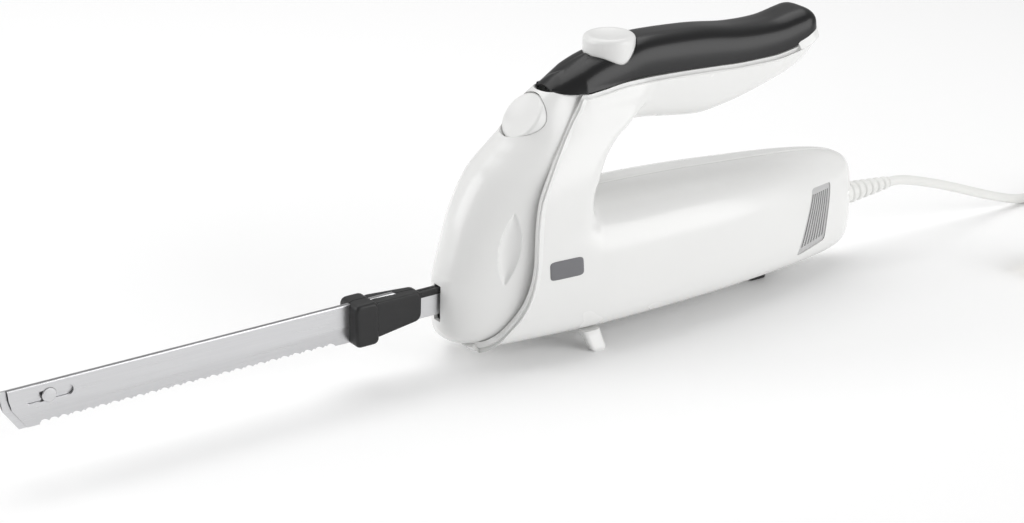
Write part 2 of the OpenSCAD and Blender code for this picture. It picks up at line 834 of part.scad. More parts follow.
module carbon_brushes() {
    color([0.15, 0.15, 0.16]) for (side = [-1, 1]) mirror([0, side > 0 ? 0 : 1, 0])
        difference() {
            block([brush_x - 2.5, 4, shaft_z - 2.5], [brush_x + 2.5, 15, shaft_z + 2.5]);
            on_shaft(brush_x - 5, brush_x + 5, 7.05);
        }
}

module brush_springs() {
    color(steel) for (side = [-1, 1]) mirror([0, side > 0 ? 0 : 1, 0])
        translate([brush_x, 15, shaft_z]) rotate([-90, 0, 0]) coil_spring(1.8, 5.9, 0.3, 4);
}

// ---------------------------------------------------------------- wiring and cord
// Two leads from the clamp past the motor and up the column to the switch
lead_route = smooth([[212.5, 1.3, 33], [206, 6, 29], [198, 11, 17], [186, 12, 13.1], [145, 12, 13.1],
                     [102, 12, 13.1], [88, 13.6, 13], [80.5, 15, 18], [75, 15.2, 34], [65, 15, 50], [62.5, 13, 66], [66, 11, 80],
                     [71, 8, 93], [79, 5, 102], [88.5, 3, 107]], 2);

module lead_wires() {
    color([0.85, 0.85, 0.85]) {
        translate([211, 0, cord_exit[2]]) rotate([0, 90, 0]) cylinder(r = cord_d / 2, h = 27);
        for (side = [-1, 1]) swept_tube([for (p = lead_route) [p[0], side * p[1], p[2]]], 1, 6);
    }
}

module cord_clamp() {
    color(white) {
        block([214, -8, 25], [222, 8, 29.4]);
        block([214, -8, 36.6], [222, 8, 40]);
        for (side = [-1, 1]) block([214, side > 0 ? 4 : -8, 29.4], [222, side > 0 ? 8 : -4, 36.6]);
    }
}

// Tapered, ribbed strain relief with its flange inside the stern
module cord_guard() {
    rings = 6;
    color(white) translate([0, 0, cord_exit[2]]) rotate([0, 90, 0]) rotate_extrude()
        polygon(concat([[0, 238], [7.4, 238], [7.4, 241], [6, 241], [6, 250]],
            [for (i = [0 : rings - 1], q = [[0, 0], [1.9, 0], [2.1, -0.5], [3.4, -0.5]])
                [5.6 - 0.42 * i + q[1], 250.4 + 4.6 * i + q[0]]],
            [[3, 278], [2.6, 279], [0, 279]]));
}

module power_cord() {
    color(white) swept_tube(smooth(cord_route, 2), cord_d / 2, 8);
}

module cord_coil() {
    color(white) translate([coil_at[0], coil_at[1], 0]) rotate_extrude() polygon([
        [coil_r[0], 0.4], [coil_r[0] + 0.4, 0], [coil_r[1] - 0.4, 0], [coil_r[1], 0.4],
        [coil_r[1], coil_h - 2], [coil_r[1] - 2, coil_h], [coil_r[0] + 2, coil_h], [coil_r[0], coil_h - 2]]);
}

module cord_tail() {
    color(white) swept_tube(smooth(tail_route, 2), cord_d / 2, 8);
}

module plug_body() {
    color(white) translate(plug_at) rotate([0, -90, 0]) {
        hull() {
            cylinder(r = 3.8, h = 2, $fn = 32);
            for (y = [-4, 4]) translate([0, y, 10]) cylinder(r = 7, h = 14, $fn = 32);
        }
        hull() for (y = [-6, 6]) translate([0, y, 24]) cylinder(r = 7.4, h = 4, $fn = 32);
    }
}

module plug_pins() {
    color(brass) translate(plug_at) for (y = [-6.35, 6.35])
        block([-44.5, y - 0.8, -3], [-28, y + 0.8, 3]);
}

on_origin() housing_left();
on_origin() housing_right();
on_origin() nose_cover();
on_origin() handle_grip();
on_origin() printed_mark();
on_origin() vent_left();
on_origin() vent_right();
on_origin() front_feet();
on_origin() rear_foot();
on_origin() housing_screws();
on_origin() power_button();
on_origin() power_spring();
on_origin() micro_switch();
on_origin() suppression_capacitor();
on_origin() lead_wires();
on_origin() eject_button();
on_origin() eject_spring();
on_origin() eject_lever();
on_origin() eject_pin();
on_origin() blade_left();
on_origin() blade_right();
on_origin() blade_grip_left();
on_origin() blade_grip_right();
on_origin() blade_rivet();
on_origin() drive_slider_left();
on_origin() drive_slider_right();
on_origin() blade_latch_left();
on_origin() blade_latch_right();
on_origin() slider_guides();
on_origin() gearbox_frame();
on_origin() wheel_axle();
on_origin() worm_wheel();
on_origin() eccentric_left();
on_origin() eccentric_right();
on_origin() rotor_shaft();
on_origin() worm();
on_origin() rotor_core();
on_origin() rotor_windings();
on_origin() commutator();
on_origin() cooling_fan();
on_origin() front_bearing();
on_origin() rear_bearing();
on_origin() bearing_brackets();
on_origin() stator_core();
on_origin() field_coils();
on_origin() brush_holders();
on_origin() carbon_brushes();
on_origin() brush_springs();
on_origin() cord_clamp();
on_origin() cord_guard();
on_origin() power_cord();
on_origin() cord_coil();
on_origin() cord_tail();
on_origin() plug_body();
on_origin() plug_pins();
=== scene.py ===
"""Electric uncapping knife on a pale table: its visible pieces, their finishes, the light and the view.

Lengths in this script are millimetres in the knife's own layout, with x measured back from the front
of the nose, y across (the left side is -y) and z up from the table. on_table() turns them into metres
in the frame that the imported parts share.
"""

import json
import math

import bmesh
import bpy
import numpy as np
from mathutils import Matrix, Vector


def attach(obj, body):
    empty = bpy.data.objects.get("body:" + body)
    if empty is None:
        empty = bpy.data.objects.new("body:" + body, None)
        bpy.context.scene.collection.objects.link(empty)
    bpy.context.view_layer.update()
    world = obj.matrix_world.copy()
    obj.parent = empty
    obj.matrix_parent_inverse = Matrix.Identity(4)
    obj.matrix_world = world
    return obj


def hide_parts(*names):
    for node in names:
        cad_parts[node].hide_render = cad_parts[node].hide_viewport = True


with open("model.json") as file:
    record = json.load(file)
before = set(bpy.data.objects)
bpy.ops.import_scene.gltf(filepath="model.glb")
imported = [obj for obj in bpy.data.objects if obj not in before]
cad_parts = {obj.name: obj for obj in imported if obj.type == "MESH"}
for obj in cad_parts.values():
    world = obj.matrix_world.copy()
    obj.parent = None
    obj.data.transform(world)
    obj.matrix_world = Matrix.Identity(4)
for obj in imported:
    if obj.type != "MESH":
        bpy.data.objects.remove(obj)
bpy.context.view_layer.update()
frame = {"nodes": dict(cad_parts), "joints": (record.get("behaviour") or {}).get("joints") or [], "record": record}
joints = {j["name"]: j for j in frame["joints"]}

# ---------------------------------------------------------------- layout
MM = 0.001
WHEEL_X = 66.0
SHIFT = joints["crank_turn"]["pos_m"][0] - WHEEL_X * MM   # nose face in the shared frame
WALL = 2.2
SEAM = 0.06
BODY_END = 249.0
BODY_MID = 36.0
HANDLE_END = 216.5
HANDLE_HALF = 14.5
NOSE_BACK = 70.0
POWER_X, POWER_TOP, WELL_FLOOR, POWER_R = 97.0, 144.6, 126.9, 12.5
POWER_TRAVEL = joints["power_button_press"]["range_m"][1] / MM
EJECT_X, EJECT_Z, EJECT_TILT, EJECT_R, CUP_DEPTH = 49.0, 112.4, math.radians(50), 12.25, 6.6
BLADE_Z, BLADE_HIGH, BLADE_GAP, BLADE_THICK = 32.5, 19.0, 0.15, 1.0
REACH, RIGHT_EXTRA = 214.8, 3.7     # how far the left blade stands out, and the right one further
TOOTH_PITCH, TOOTH_DEPTH = 6.0, 2.0
RIVET_X, RIVET_Z = -196.0, 36.0
CORD_D = 5.0
POST_SPOTS = [[74, 61], [90, 19], [176, 20], [192, 54], [78, 111], [194, 117]]

EDGE_ROUND = 0.7                    # radius along the shells' visible edges

ONE_TURN = 2 * math.pi


def through(points, steps=8):
    """A smooth line through the given points: Catmull-Rom spans, each cut into equal steps."""
    p = np.array(points, float)
    p = np.vstack([2 * p[0] - p[1], p, 2 * p[-1] - p[-2]])
    t = np.linspace(0, 1, steps, endpoint=False)[:, None, None]
    a, b, c, d = p[:-3], p[1:-2], p[2:-1], p[3:]
    q = 0.5 * (2 * b + (c - a) * t + (2 * a - 5 * b + 4 * c - d) * t**2
               + (3 * b - a - 3 * c + d) * t**3)
    return np.vstack([q.transpose(1, 0, 2).reshape(-1, p.shape[1]), p[-2]])


def eased(points, steps=8):
    """A line through points as cubic pieces, with each slope held to twice the smaller step beside it
    and to nothing where the steps change direction, so that it never passes beyond its points."""
    p = np.array(points, float)
    step = np.diff(p, axis=0)
    before, after = step[:-1], step[1:]
    most = 2 * np.minimum(np.abs(before), np.abs(after))
    inner = np.clip((before + after) / 2, -most, most) * (before * after > 0)
    slope = np.vstack([step[:1], inner, step[-1:]])
    t = (np.arange(steps) / steps)[None, :, None]
    a, b, m, n = p[:-1, None], p[1:, None], slope[:-1, None], slope[1:, None]
    line = a + t * m + t**2 * (3 * (b - a) - 2 * m - n) + t**3 * (2 * (a - b) + m + n)
    return np.vstack([line.reshape(-1, p.shape[1]), p[-1:]])


def read(line, x):
    """Second value of a line of [place, value] pairs at the places x."""
    return np.interp(x, line[:, 0], line[:, 1])


BODY_WIDTH = through([[0, 14], [5, 18], [13, 22.5], [36, 27.5], [68, 32], [97, 33], [145, 31.5],
                      [181, 27.5], [204, 23.6], [222, 19], [236, 14.4], [244, 9], [249, 1.5]])
BODY_CROWN = through([[0, 58], [60, 71], [92, 71], [132, 69.5], [180, 66.2], [210, 63.8], [230, 61],
                      [241, 57.5], [249, 50]])
BODY_KEEL = through([[0, 11], [12, 9.2], [40, 8.8], [200, 8.8], [232, 9.8], [243, 13], [249, 19]])
COLUMN_FRONT = through([[30, -3], [44, 1], [54, 4.5], [73.5, 11], [89.5, 20], [99.5, 31], [106.5, 39],
                        [114.5, 44], [121, 51], [126, 60]])
COLUMN_REAR = through([[30, 72], [50, 72.5], [74, 73], [83.5, 76.8], [91.5, 81], [97, 85.4],
                       [102, 91.6], [107, 100], [114, 108], [126, 112]])
COLUMN_WIDTH = through([[30, 29], [60, 28.8], [76, 27.8], [90, 25.4], [104, 21], [114, 17], [126, 14]])
NOSE_RIDGE = through([[9.6, 12], [11.5, 5], [16, 0.5], [23, -0.3], [40, 0.2], [46, 1.5], [56, 4.5],
                      [73.5, 10.3], [89.5, 19.2], [99.5, 30], [106.5, 38], [114.5, 43.5],
                      [121, 50.5], [125, 57]])
NOSE_WIDTH = through([[9.6, 16], [12, 20.5], [16, 23.8], [24, 25.6], [40, 26.2], [58, 26.2],
                      [75, 25.3], [90, 22.9], [104, 18.4], [114, 14.1], [125, 10]])
CREASE = through([[7, 2], [14, 13.5], [21, 18.5], [27, 24.5], [34.5, 41.5], [36, 58.5], [38, 75.5],
                  [44.5, 89.5], [56, 104.5], [67.5, 117.5], [76, 130]])
HANDLE_TOP = through([[56, 124], [68, 130], [82, 136], [98, 139.8], [113, 142.3], [145, 140.8],
                      [170, 137.6], [190, 137], [204, 139], [212, 140.3], [216.5, 139]])
HANDLE_UNDER = through([[56, 92], [92, 97], [104, 101], [112, 101.4], [128, 99], [146, 96.9],
                        [160, 98.4], [176, 101.8], [198, 108.6], [209, 114.6], [216.5, 124]])
GRIP_EDGE = through([[56, 127.5], [61, 124.3], [70, 122.8], [84, 123.6], [104, 125.4], [125, 124.6],
                     [165, 122.2], [188, 122.2], [204, 125], [214, 129], [224, 136]])
# Matched lines that the shells' rings run between: inner x, z, outer x, z, and the share of the
# half-width that the ring's last point has (0 under the keel, 1 on the crease and the grip's edge)
SHELL_GUIDE = eased([[249, 48, 249, 20, 0], [246, 53, 246, 15.5, 0], [240, 58, 240, 11.8, 0],
                     [231, 60.8, 230, 9.7, 0], [220, 62.6, 216, 9, 0], [208, 64, 196, 8.8, 0],
                     [196, 65, 168, 8.8, 0], [184, 65.9, 138, 8.8, 0], [172, 66.8, 108, 8.8, 0],
                     [161, 67.6, 78, 8.8, 0], [150, 68.3, 50, 8.8, 0], [141, 68.9, 28, 9.2, 0],
                     [134, 69.4, 13.2, 9.8, 0], [131, 69.5, 12.8, 9.9, 0.5], [128, 69.7, 13, 10.3, 1],
                     [117, 70.3, 21, 18.5, 1], [105, 70.8, 30.5, 31.5, 1], [93, 71.2, 35.4, 50, 1],
                     [82, 73, 37, 68, 1], [77, 79.5, 39.2, 79, 1], [78.5, 85, 43, 87, 1],
                     [83, 89, 49.3, 96.5, 1], [90, 92.8, 56.5, 105.1, 1], [98, 96.6, 63.4, 113, 1],
                     [104, 98.8, 68.6, 119, 1], [108, 100, 71, 122.2, 1], [111, 100.5, 71.6, 122.8, 1],
                     [114, 100.6, 75, 122.9, 1], [119, 100.5, 83, 123.5, 1], [127, 99.3, 100, 125, 1],
                     [139, 97.8, 124, 124.6, 1], [153, 97.8, 148, 123.4, 1], [168, 100.1, 167, 122.3, 1],
                     [184, 104.2, 184, 122.2, 1], [197, 108.8, 197, 123.6, 1], [207, 114, 206, 125.8, 1],
                     [213, 119.4, 211.5, 127.9, 1], [215.6, 124, 214.6, 129.2, 1],
                     [216.3, 128.6, 216.2, 130.2, 1]])


def on_table(p):
    """Layout millimetres to metres in the shared frame."""
    return np.asarray(p, float) * MM + np.array([SHIFT, 0, 0])


# ---------------------------------------------------------------- outlines as distances
def superellipse(a, b, n):
    """Size of the point (a, b) against the superellipse |a|^n + |b|^n = 1."""
    return np.maximum((np.abs(a)**n + np.abs(b)**n)**(1 / n), 1e-4)


def body_outside(x, y, z):
    """Distance outside the motor body along the spoke from its axis; sections are superellipses,
    rounder above the middle than below."""
    w = read(BODY_WIDTH, x)
    rise = z - BODY_MID
    h = np.where(rise > 0, read(BODY_CROWN, x) - BODY_MID, BODY_MID - read(BODY_KEEL, x))
    size = superellipse(y / w, rise / h, np.where(rise > 0, 2.7, 4.2))
    spoke = np.where(size > 0.05, np.hypot(y, rise) / size, np.minimum(w, h))
    return np.maximum((size - 1) * spoke, x - BODY_END)


def column_outside(x, y, z):
    """Distance outside the column: level sections with a round front and a square rear, drawn in
    below the body's shoulder and at the top, inside the handle."""
    front, rear, w = read(COLUMN_FRONT, z), read(COLUMN_REAR, z), read(COLUMN_WIDTH, z)
    middle = rear - 0.38 * (rear - front)
    ahead = x < middle
    half = np.where(ahead, middle - front, rear - middle)
    size = superellipse((x - middle) / half, y / w, np.where(ahead, 2.4, 7))
    spoke = np.where(size > 0.05, np.hypot(x - middle, y) / size, w)
    low, high = np.maximum(46 - z, 0), np.maximum(z - 116, 0)
    return (size - 1) * spoke + 0.012 * low**2 + 2 * np.maximum(24 - z, 0) + 0.06 * high**2


def handle_outside(x, y, z):
    """Distance outside the handle: superellipse sections that shrink to a rounded rear end."""
    top, under = read(HANDLE_TOP, x), read(HANDLE_UNDER, x)
    close = (1 - np.clip((x - 203) / (HANDLE_END - 203), 0, 0.9999)**3.5)**(1 / 3.5)
    middle, half = (top + under) / 2, (top - under) / 2 * close
    w = HANDLE_HALF * np.minimum(1, 0.62 + 0.02 * (x - 56)) * close
    size = superellipse(y / w, (z - middle) / half, np.where(z > middle, 3.2, 2.5))
    spoke = np.where(size > 0.05, np.hypot(y, z - middle) / size, np.minimum(w, half))
    return np.maximum((size - 1) * spoke, x - HANDLE_END)


def soft_min(a, b, blend):
    """The smaller of a and b, rounded where they differ by less than the blend."""
    h = np.maximum(blend - np.abs(a - b), 0) / blend
    return np.minimum(a, b) - h * h * blend / 4


def housing_outside(x, y, z):
    """Distance outside the whole housing: body, column and handle run into each other softly."""
    lower = soft_min(body_outside(x, y, z), column_outside(x, y, z), 6)
    return soft_min(lower, handle_outside(x, y, z), 6)


def nose_outside(x, y, z):
    """How far outside the nose cover's half-oval sections a point lies, in millimetres."""
    size = superellipse((NOSE_BACK - x) / (NOSE_BACK - read(NOSE_RIDGE, z)), y / read(NOSE_WIDTH, z), 2.35)
    return (size - 1) * 30


def first_crossing(outside, start, direction, reach, marches=40):
    """Length along each ray at which a distance turns from inside to outside: steps out until the
    sign changes, then halves the last step."""
    steps = np.linspace(0, reach, marches + 1)
    p = start[..., None, :] + steps[:, None] * direction[..., None, :]
    out = outside(p[..., 0], p[..., 1], p[..., 2]) > 0
    out[..., -1] = True
    first = np.maximum(np.argmax(out, axis=-1), 1)
    low, high = steps[first - 1], steps[first]
    for _ in range(22):
        middle = (low + high) / 2
        q = start + middle[..., None] * direction
        beyond = outside(q[..., 0], q[..., 1], q[..., 2]) > 0
        high = np.where(beyond, middle, high)
        low = np.where(beyond, low, middle)
    return (low + high) / 2


def facing(outside, p):
    """Unit direction in which the distance grows fastest at each point, from small steps each way."""
    steps = np.eye(3) * 0.05
    slope = np.stack([outside(*np.moveaxis(p + d, -1, 0)) - outside(*np.moveaxis(p - d, -1, 0))
                      for d in steps], -1)
    return slope / np.maximum(np.linalg.norm(slope, axis=-1, keepdims=True), 1e-9)


# ---------------------------------------------------------------- meshes
finishes = {}


def mesh_piece(name, points, faces, finish, crisp=35):
    """A mesh object from layout points and index rows, shaded smooth but for edges past the angle."""
    mesh = bpy.data.meshes.new(name)
    mesh.from_pydata(on_table(points).tolist(), [], [list(map(int, f)) for f in faces])
    mesh.validate()
    mesh.shade_smooth()
    mesh.set_sharp_from_angle(angle=math.radians(crisp))
    piece = bpy.data.objects.new(name, mesh)
    bpy.context.scene.collection.objects.link(piece)
    if finish:
        mesh.materials.append(finishes[finish])
    return piece


def grid_faces(rows, columns, round_rows=False, round_columns=False, offset=0, turned=False):
    """Four-sided faces of a grid of points, joined round on itself where asked."""
    r = np.arange(rows if round_rows else rows - 1)
    c = np.arange(columns if round_columns else columns - 1)
    r, c = np.meshgrid(r, c, indexing="ij")
    r2, c2 = (r + 1) % rows, (c + 1) % columns
    quads = np.stack([r * columns + c, r2 * columns + c, r2 * columns + c2, r * columns + c2], -1)
    quads = quads.reshape(-1, 4) + offset
    return quads[:, ::-1] if turned else quads


def grid_piece(name, grid, finish, round_columns=False, turned=False, crisp=35):
    """A piece whose surface is one grid of points."""
    rows, columns = grid.shape[:2]
    faces = grid_faces(rows, columns, round_columns=round_columns, turned=turned)
    return mesh_piece(name, grid.reshape(-1, 3), faces, finish, crisp)


def tidy_normals(piece):
    """Merges a closed piece's doubled points and turns its faces outwards."""
    work = bmesh.new()
    work.from_mesh(piece.data)
    bmesh.ops.remove_doubles(work, verts=work.verts, dist=2e-6)
    bmesh.ops.dissolve_degenerate(work, edges=work.edges, dist=1e-6)
    bmesh.ops.recalc_face_normals(work, faces=work.faces)
    work.to_mesh(piece.data)
    work.free()
    return piece


def apply_modifiers(piece, crisp=35):
    """Makes the piece's modifiers part of its mesh."""
    seen = piece.evaluated_get(bpy.context.evaluated_depsgraph_get())
    mesh = bpy.data.meshes.new_from_object(seen)
    piece.modifiers.clear()
    piece.data = mesh
    mesh.shade_smooth()
    mesh.set_sharp_from_angle(angle=math.radians(crisp))
    return piece


def walled(piece, wall=WALL, edge=0.4):
    """Gives an open surface its wall, inwards, and rounds the wall's edges."""
    solid = piece.modifiers.new("wall", "SOLIDIFY")
    solid.thickness = wall * MM
    solid.offset = -1
    solid.use_even_offset = False
    if edge:
        rounding = piece.modifiers.new("edge", "BEVEL")
        rounding.width = edge * MM
        rounding.segments = 3
        rounding.limit_method = "ANGLE"
        rounding.angle_limit = math.radians(50)
    return apply_modifiers(piece)


def cut(piece, *cutters):
    """Takes the cutters' shapes out of a piece and removes them."""
    for cutter in cutters:
        hole = piece.modifiers.new("cut", "BOOLEAN")
        hole.operation = "DIFFERENCE"
        hole.solver = "EXACT"
        hole.object = cutter
        apply_modifiers(piece)
        bpy.data.objects.remove(cutter)
    return piece


def axis_frame(origin, axis):
    """An origin and three unit directions, the last along the axis."""
    w = np.array(axis, float) / np.linalg.norm(axis)
    u = np.cross([0, 1, 0], w) if abs(w[1]) < 0.9 else np.cross([1, 0, 0], w)
    u /= np.linalg.norm(u)
    return np.array(origin, float), u, np.cross(w, u), w


def turned_grid(profile, place, count=96):
    """A profile of [radius, height] pairs turned about an axis."""
    origin, u, v, w = place
    a = np.arange(count) * ONE_TURN / count
    r, h = np.array(profile, float).T
    ring = np.cos(a)[:, None] * u + np.sin(a)[:, None] * v
    return origin + r[:, None, None] * ring + h[:, None, None] * w


def turned_piece(name, profile, place, finish, count=96, crisp=35):
    """A turned solid: the profile starts and ends on the axis, where a short row closes it."""
    profile = np.array(profile, float)
    profile[[0, -1], 0] = np.maximum(profile[[0, -1], 0], 0.004)
    grid = turned_grid(profile, place, count)
    rows = len(profile)
    faces = [list(f) for f in grid_faces(rows, count, round_columns=True)]
    faces += [list(range(count)), list(range((rows - 1) * count, rows * count))]
    return tidy_normals(mesh_piece(name, grid.reshape(-1, 3), faces, finish, crisp))


def rounded(corners, radius, steps=6):
    """An open line of [a, b] corners with each inner corner replaced by a tangent curve."""
    p = np.array(corners, float)
    line = [p[:1]]
    for before, at, after in zip(p[:-2], p[1:-1], p[2:]):
        back, on = before - at, after - at
        r = min(radius, np.linalg.norm(back) * 0.49, np.linalg.norm(on) * 0.49)
        start = at + back / np.linalg.norm(back) * r
        end = at + on / np.linalg.norm(on) * r
        t = np.linspace(0, 1, steps)[:, None]
        line.append((1 - t)**2 * start + 2 * t * (1 - t) * at + t**2 * end)
    line.append(p[-1:])
    return np.vstack(line)


def prism(name, outline, low, high, place):
    """A straight bar with the given outline, from the low to the high end of its axis."""
    origin, u, v, w = place
    flat = np.array(outline, float)
    n = len(flat)
    ring = origin + flat[:, :1] * u + flat[:, 1:] * v
    points = np.vstack([ring + low * w, ring + high * w])
    faces = [list(f) for f in grid_faces(2, n, round_columns=True)]
    faces += [list(range(n)), list(range(2 * n - 1, n - 1, -1))]
    return tidy_normals(mesh_piece(name, points, faces, None))


def round_cutter(name, radius, low, high, place):
    """A round bar used as a cutter."""
    a = np.arange(96) * ONE_TURN / 96
    return prism(name, np.stack([radius * np.cos(a), radius * np.sin(a)], -1), low, high, place)


def lofted(name, rings, finish, crisp=35):
    """A closed solid through rings of equal point count, with flat ends."""
    rings = np.array(rings, float)
    rows, count = rings.shape[:2]
    faces = [list(f) for f in grid_faces(rows, count, round_columns=True)]
    faces += [list(range(count)), list(range((rows - 1) * count, rows * count))]
    return tidy_normals(mesh_piece(name, rings.reshape(-1, 3), faces, finish, crisp))


def pad_rings(half_a, half_b, heights, insets, n=5, count=72, lean=0.0):
    """Rings of a rounded pad: a superellipse of half-sizes a and b, drawn in by each inset."""
    a = np.arange(count) * ONE_TURN / count
    c, s = np.cos(a), np.sin(a)
    ring_a = np.sign(c) * np.abs(c)**(2 / n)
    ring_b = np.sign(s) * np.abs(s)**(2 / n)
    rings = []
    for height, inset in zip(heights, insets):
        rings.append(np.stack([ring_a * max(half_a - inset, 0.01), ring_b * max(half_b - inset, 0.01),
                               np.full(count, height) + lean * ring_a * half_a], -1))
    return np.array(rings)


def mirrored(points):
    """The same points on the other side of the middle plane."""
    return points * np.array([1, -1, 1])


def belongs(piece, body, slot, *nodes):
    """Rides the piece on a body and puts it in the place of CAD nodes; the slot is not used."""
    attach(piece, body)
    if nodes:
        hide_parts(*nodes)
    return piece


# ---------------------------------------------------------------- finishes
def node_group(name, inputs, outputs):
    """An empty shader group with named sockets, and its two end nodes."""
    tree = bpy.data.node_groups.new(name, "ShaderNodeTree")
    for label, kind, value in inputs:
        socket = tree.interface.new_socket(name=label, in_out="INPUT", socket_type="NodeSocket" + kind)
        socket.default_value = value
    for label, kind in outputs:
        tree.interface.new_socket(name=label, in_out="OUTPUT", socket_type="NodeSocket" + kind)
    return tree, tree.nodes.new("NodeGroupInput"), tree.nodes.new("NodeGroupOutput")


def add(tree, kind, links=(), **settings):
    """A node with its settings and the links that feed its inputs."""
    node = tree.nodes.new("ShaderNode" + kind)
    for key, value in settings.items():
        setattr(node, key, value)
    for socket, source in links:
        if isinstance(source, (int, float, tuple)):
            node.inputs[socket].default_value = source
        else:
            tree.links.new(source, node.inputs[socket])
    return node


def mix_colour(tree, share, first, second):
    """Blends two colours by a share."""
    node = tree.nodes.new("ShaderNodeMix")
    node.data_type = "RGBA"
    for index, source in ((0, share), (6, first), (7, second)):
        if isinstance(source, (int, float, tuple)):
            node.inputs[index].default_value = source
        else:
            tree.links.new(source, node.inputs[index])
    return node.outputs[2]


def build_moulded_skin():
    """Moulded plastic: a slow change of tone, a fine grain in the gloss and a faint orange peel."""
    tree, enter, leave = node_group(
        "moulded_skin",
        [("Colour", "Color", (0.8, 0.8, 0.8, 1)), ("Tone", "Float", 0.03), ("Gloss", "Float", 0.3),
         ("Gloss Spread", "Float", 0.06), ("Grain Size", "Float", 900.0), ("Grain Depth", "Float", 0.05)],
        [("Colour", "Color"), ("Roughness", "Float"), ("Normal", "Vector")])
    place = add(tree, "TexCoord").outputs["Object"]
    slow = add(tree, "TexNoise", [("Vector", place), ("Scale", 28.0), ("Detail", 3.0)]).outputs["Fac"]
    fine = add(tree, "TexNoise", [("Vector", place), ("Scale", enter.outputs["Grain Size"]),
                                  ("Detail", 2.0)]).outputs["Fac"]
    off = add(tree, "Math", [(0, slow), (1, 0.5)], operation="SUBTRACT").outputs[0]
    tone = add(tree, "Math", [(0, off), (1, enter.outputs["Tone"])], operation="MULTIPLY").outputs[0]
    factor = add(tree, "Math", [(0, tone), (1, 1.0)], operation="ADD").outputs[0]
    colour = add(tree, "VectorMath", [(0, enter.outputs["Colour"])], operation="SCALE")
    tree.links.new(factor, colour.inputs["Scale"])
    spread = add(tree, "Math", [(0, off), (1, enter.outputs["Gloss Spread"])], operation="MULTIPLY")
    rough = add(tree, "Math", [(0, spread.outputs[0]), (1, enter.outputs["Gloss"])], operation="ADD",
                use_clamp=True)
    peel = add(tree, "Bump", [("Strength", enter.outputs["Grain Depth"]), ("Distance", 0.0004),
                              ("Height", fine)])
    tree.links.new(colour.outputs[0], leave.inputs["Colour"])
    tree.links.new(rough.outputs[0], leave.inputs["Roughness"])
    tree.links.new(peel.outputs[0], leave.inputs["Normal"])
    return tree


def build_drawn_steel():
    """Metal with streaks along one direction: noise stretched by the Stretch vector."""
    tree, enter, leave = node_group(
        "drawn_metal",
        [("Colour", "Color", (0.6, 0.6, 0.6, 1)), ("Stretch", "Vector", (20, 400, 1500)),
         ("Contrast", "Float", 0.15), ("Gloss", "Float", 0.25), ("Gloss Spread", "Float", 0.15),
         ("Streak Depth", "Float", 0.1)],
        [("Colour", "Color"), ("Roughness", "Float"), ("Normal", "Vector")])
    place = add(tree, "TexCoord").outputs["Object"]
    pulled = add(tree, "VectorMath", [(0, place), (1, enter.outputs["Stretch"])], operation="MULTIPLY")
    streak = add(tree, "TexNoise", [("Vector", pulled.outputs[0]), ("Scale", 1.0),
                                    ("Detail", 4.0), ("Roughness", 0.6)]).outputs["Fac"]
    off = add(tree, "Math", [(0, streak), (1, 0.5)], operation="SUBTRACT").outputs[0]
    tone = add(tree, "Math", [(0, off), (1, enter.outputs["Contrast"])], operation="MULTIPLY").outputs[0]
    factor = add(tree, "Math", [(0, tone), (1, 1.0)], operation="ADD").outputs[0]
    colour = add(tree, "VectorMath", [(0, enter.outputs["Colour"])], operation="SCALE")
    tree.links.new(factor, colour.inputs["Scale"])
    spread = add(tree, "Math", [(0, off), (1, enter.outputs["Gloss Spread"])], operation="MULTIPLY")
    rough = add(tree, "Math", [(0, spread.outputs[0]), (1, enter.outputs["Gloss"])], operation="ADD",
                use_clamp=True)
    scratch = add(tree, "Bump", [("Strength", enter.outputs["Streak Depth"]), ("Distance", 0.0002),
                                 ("Height", streak)])
    tree.links.new(colour.outputs[0], leave.inputs["Colour"])
    tree.links.new(rough.outputs[0], leave.inputs["Roughness"])
    tree.links.new(scratch.outputs[0], leave.inputs["Normal"])
    return tree


def build_dust_and_top_shade():
    """A thin veil of dust and painted shade on faces that look up, broken up by noise: it darkens the tops."""
    tree, enter, leave = node_group(
        "dust_and_top_shade",
        [("Colour", "Color", (0.8, 0.8, 0.8, 1)), ("Dust And Shade", "Color", (0.55, 0.53, 0.5, 1)),
         ("Amount", "Float", 0.1), ("Patch Size", "Float", 140.0)],
        [("Colour", "Color"), ("Mask", "Float")])
    shape = add(tree, "NewGeometry")
    up = add(tree, "SeparateXYZ", [(0, shape.outputs["Normal"])]).outputs["Z"]
    facing = add(tree, "MapRange", [("Value", up), ("From Min", 0.3), ("From Max", 0.95)]).outputs[0]
    place = add(tree, "TexCoord").outputs["Object"]
    patch = add(tree, "TexNoise", [("Vector", place), ("Scale", enter.outputs["Patch Size"]),
                                   ("Detail", 6.0), ("Roughness", 0.7)]).outputs["Fac"]
    broken = add(tree, "MapRange", [("Value", patch), ("From Min", 0.42), ("From Max", 0.72)]).outputs[0]
    both = add(tree, "Math", [(0, facing), (1, broken)], operation="MULTIPLY").outputs[0]
    mask = add(tree, "Math", [(0, both), (1, enter.outputs["Amount"])], operation="MULTIPLY").outputs[0]
    tree.links.new(mix_colour(tree, mask, enter.outputs["Colour"], enter.outputs["Dust And Shade"]),
                   leave.inputs["Colour"])
    tree.links.new(mask, leave.inputs["Mask"])
    return tree


moulded_skin = build_moulded_skin()
drawn_metal = build_drawn_steel()
dust_and_top_shade = build_dust_and_top_shade()


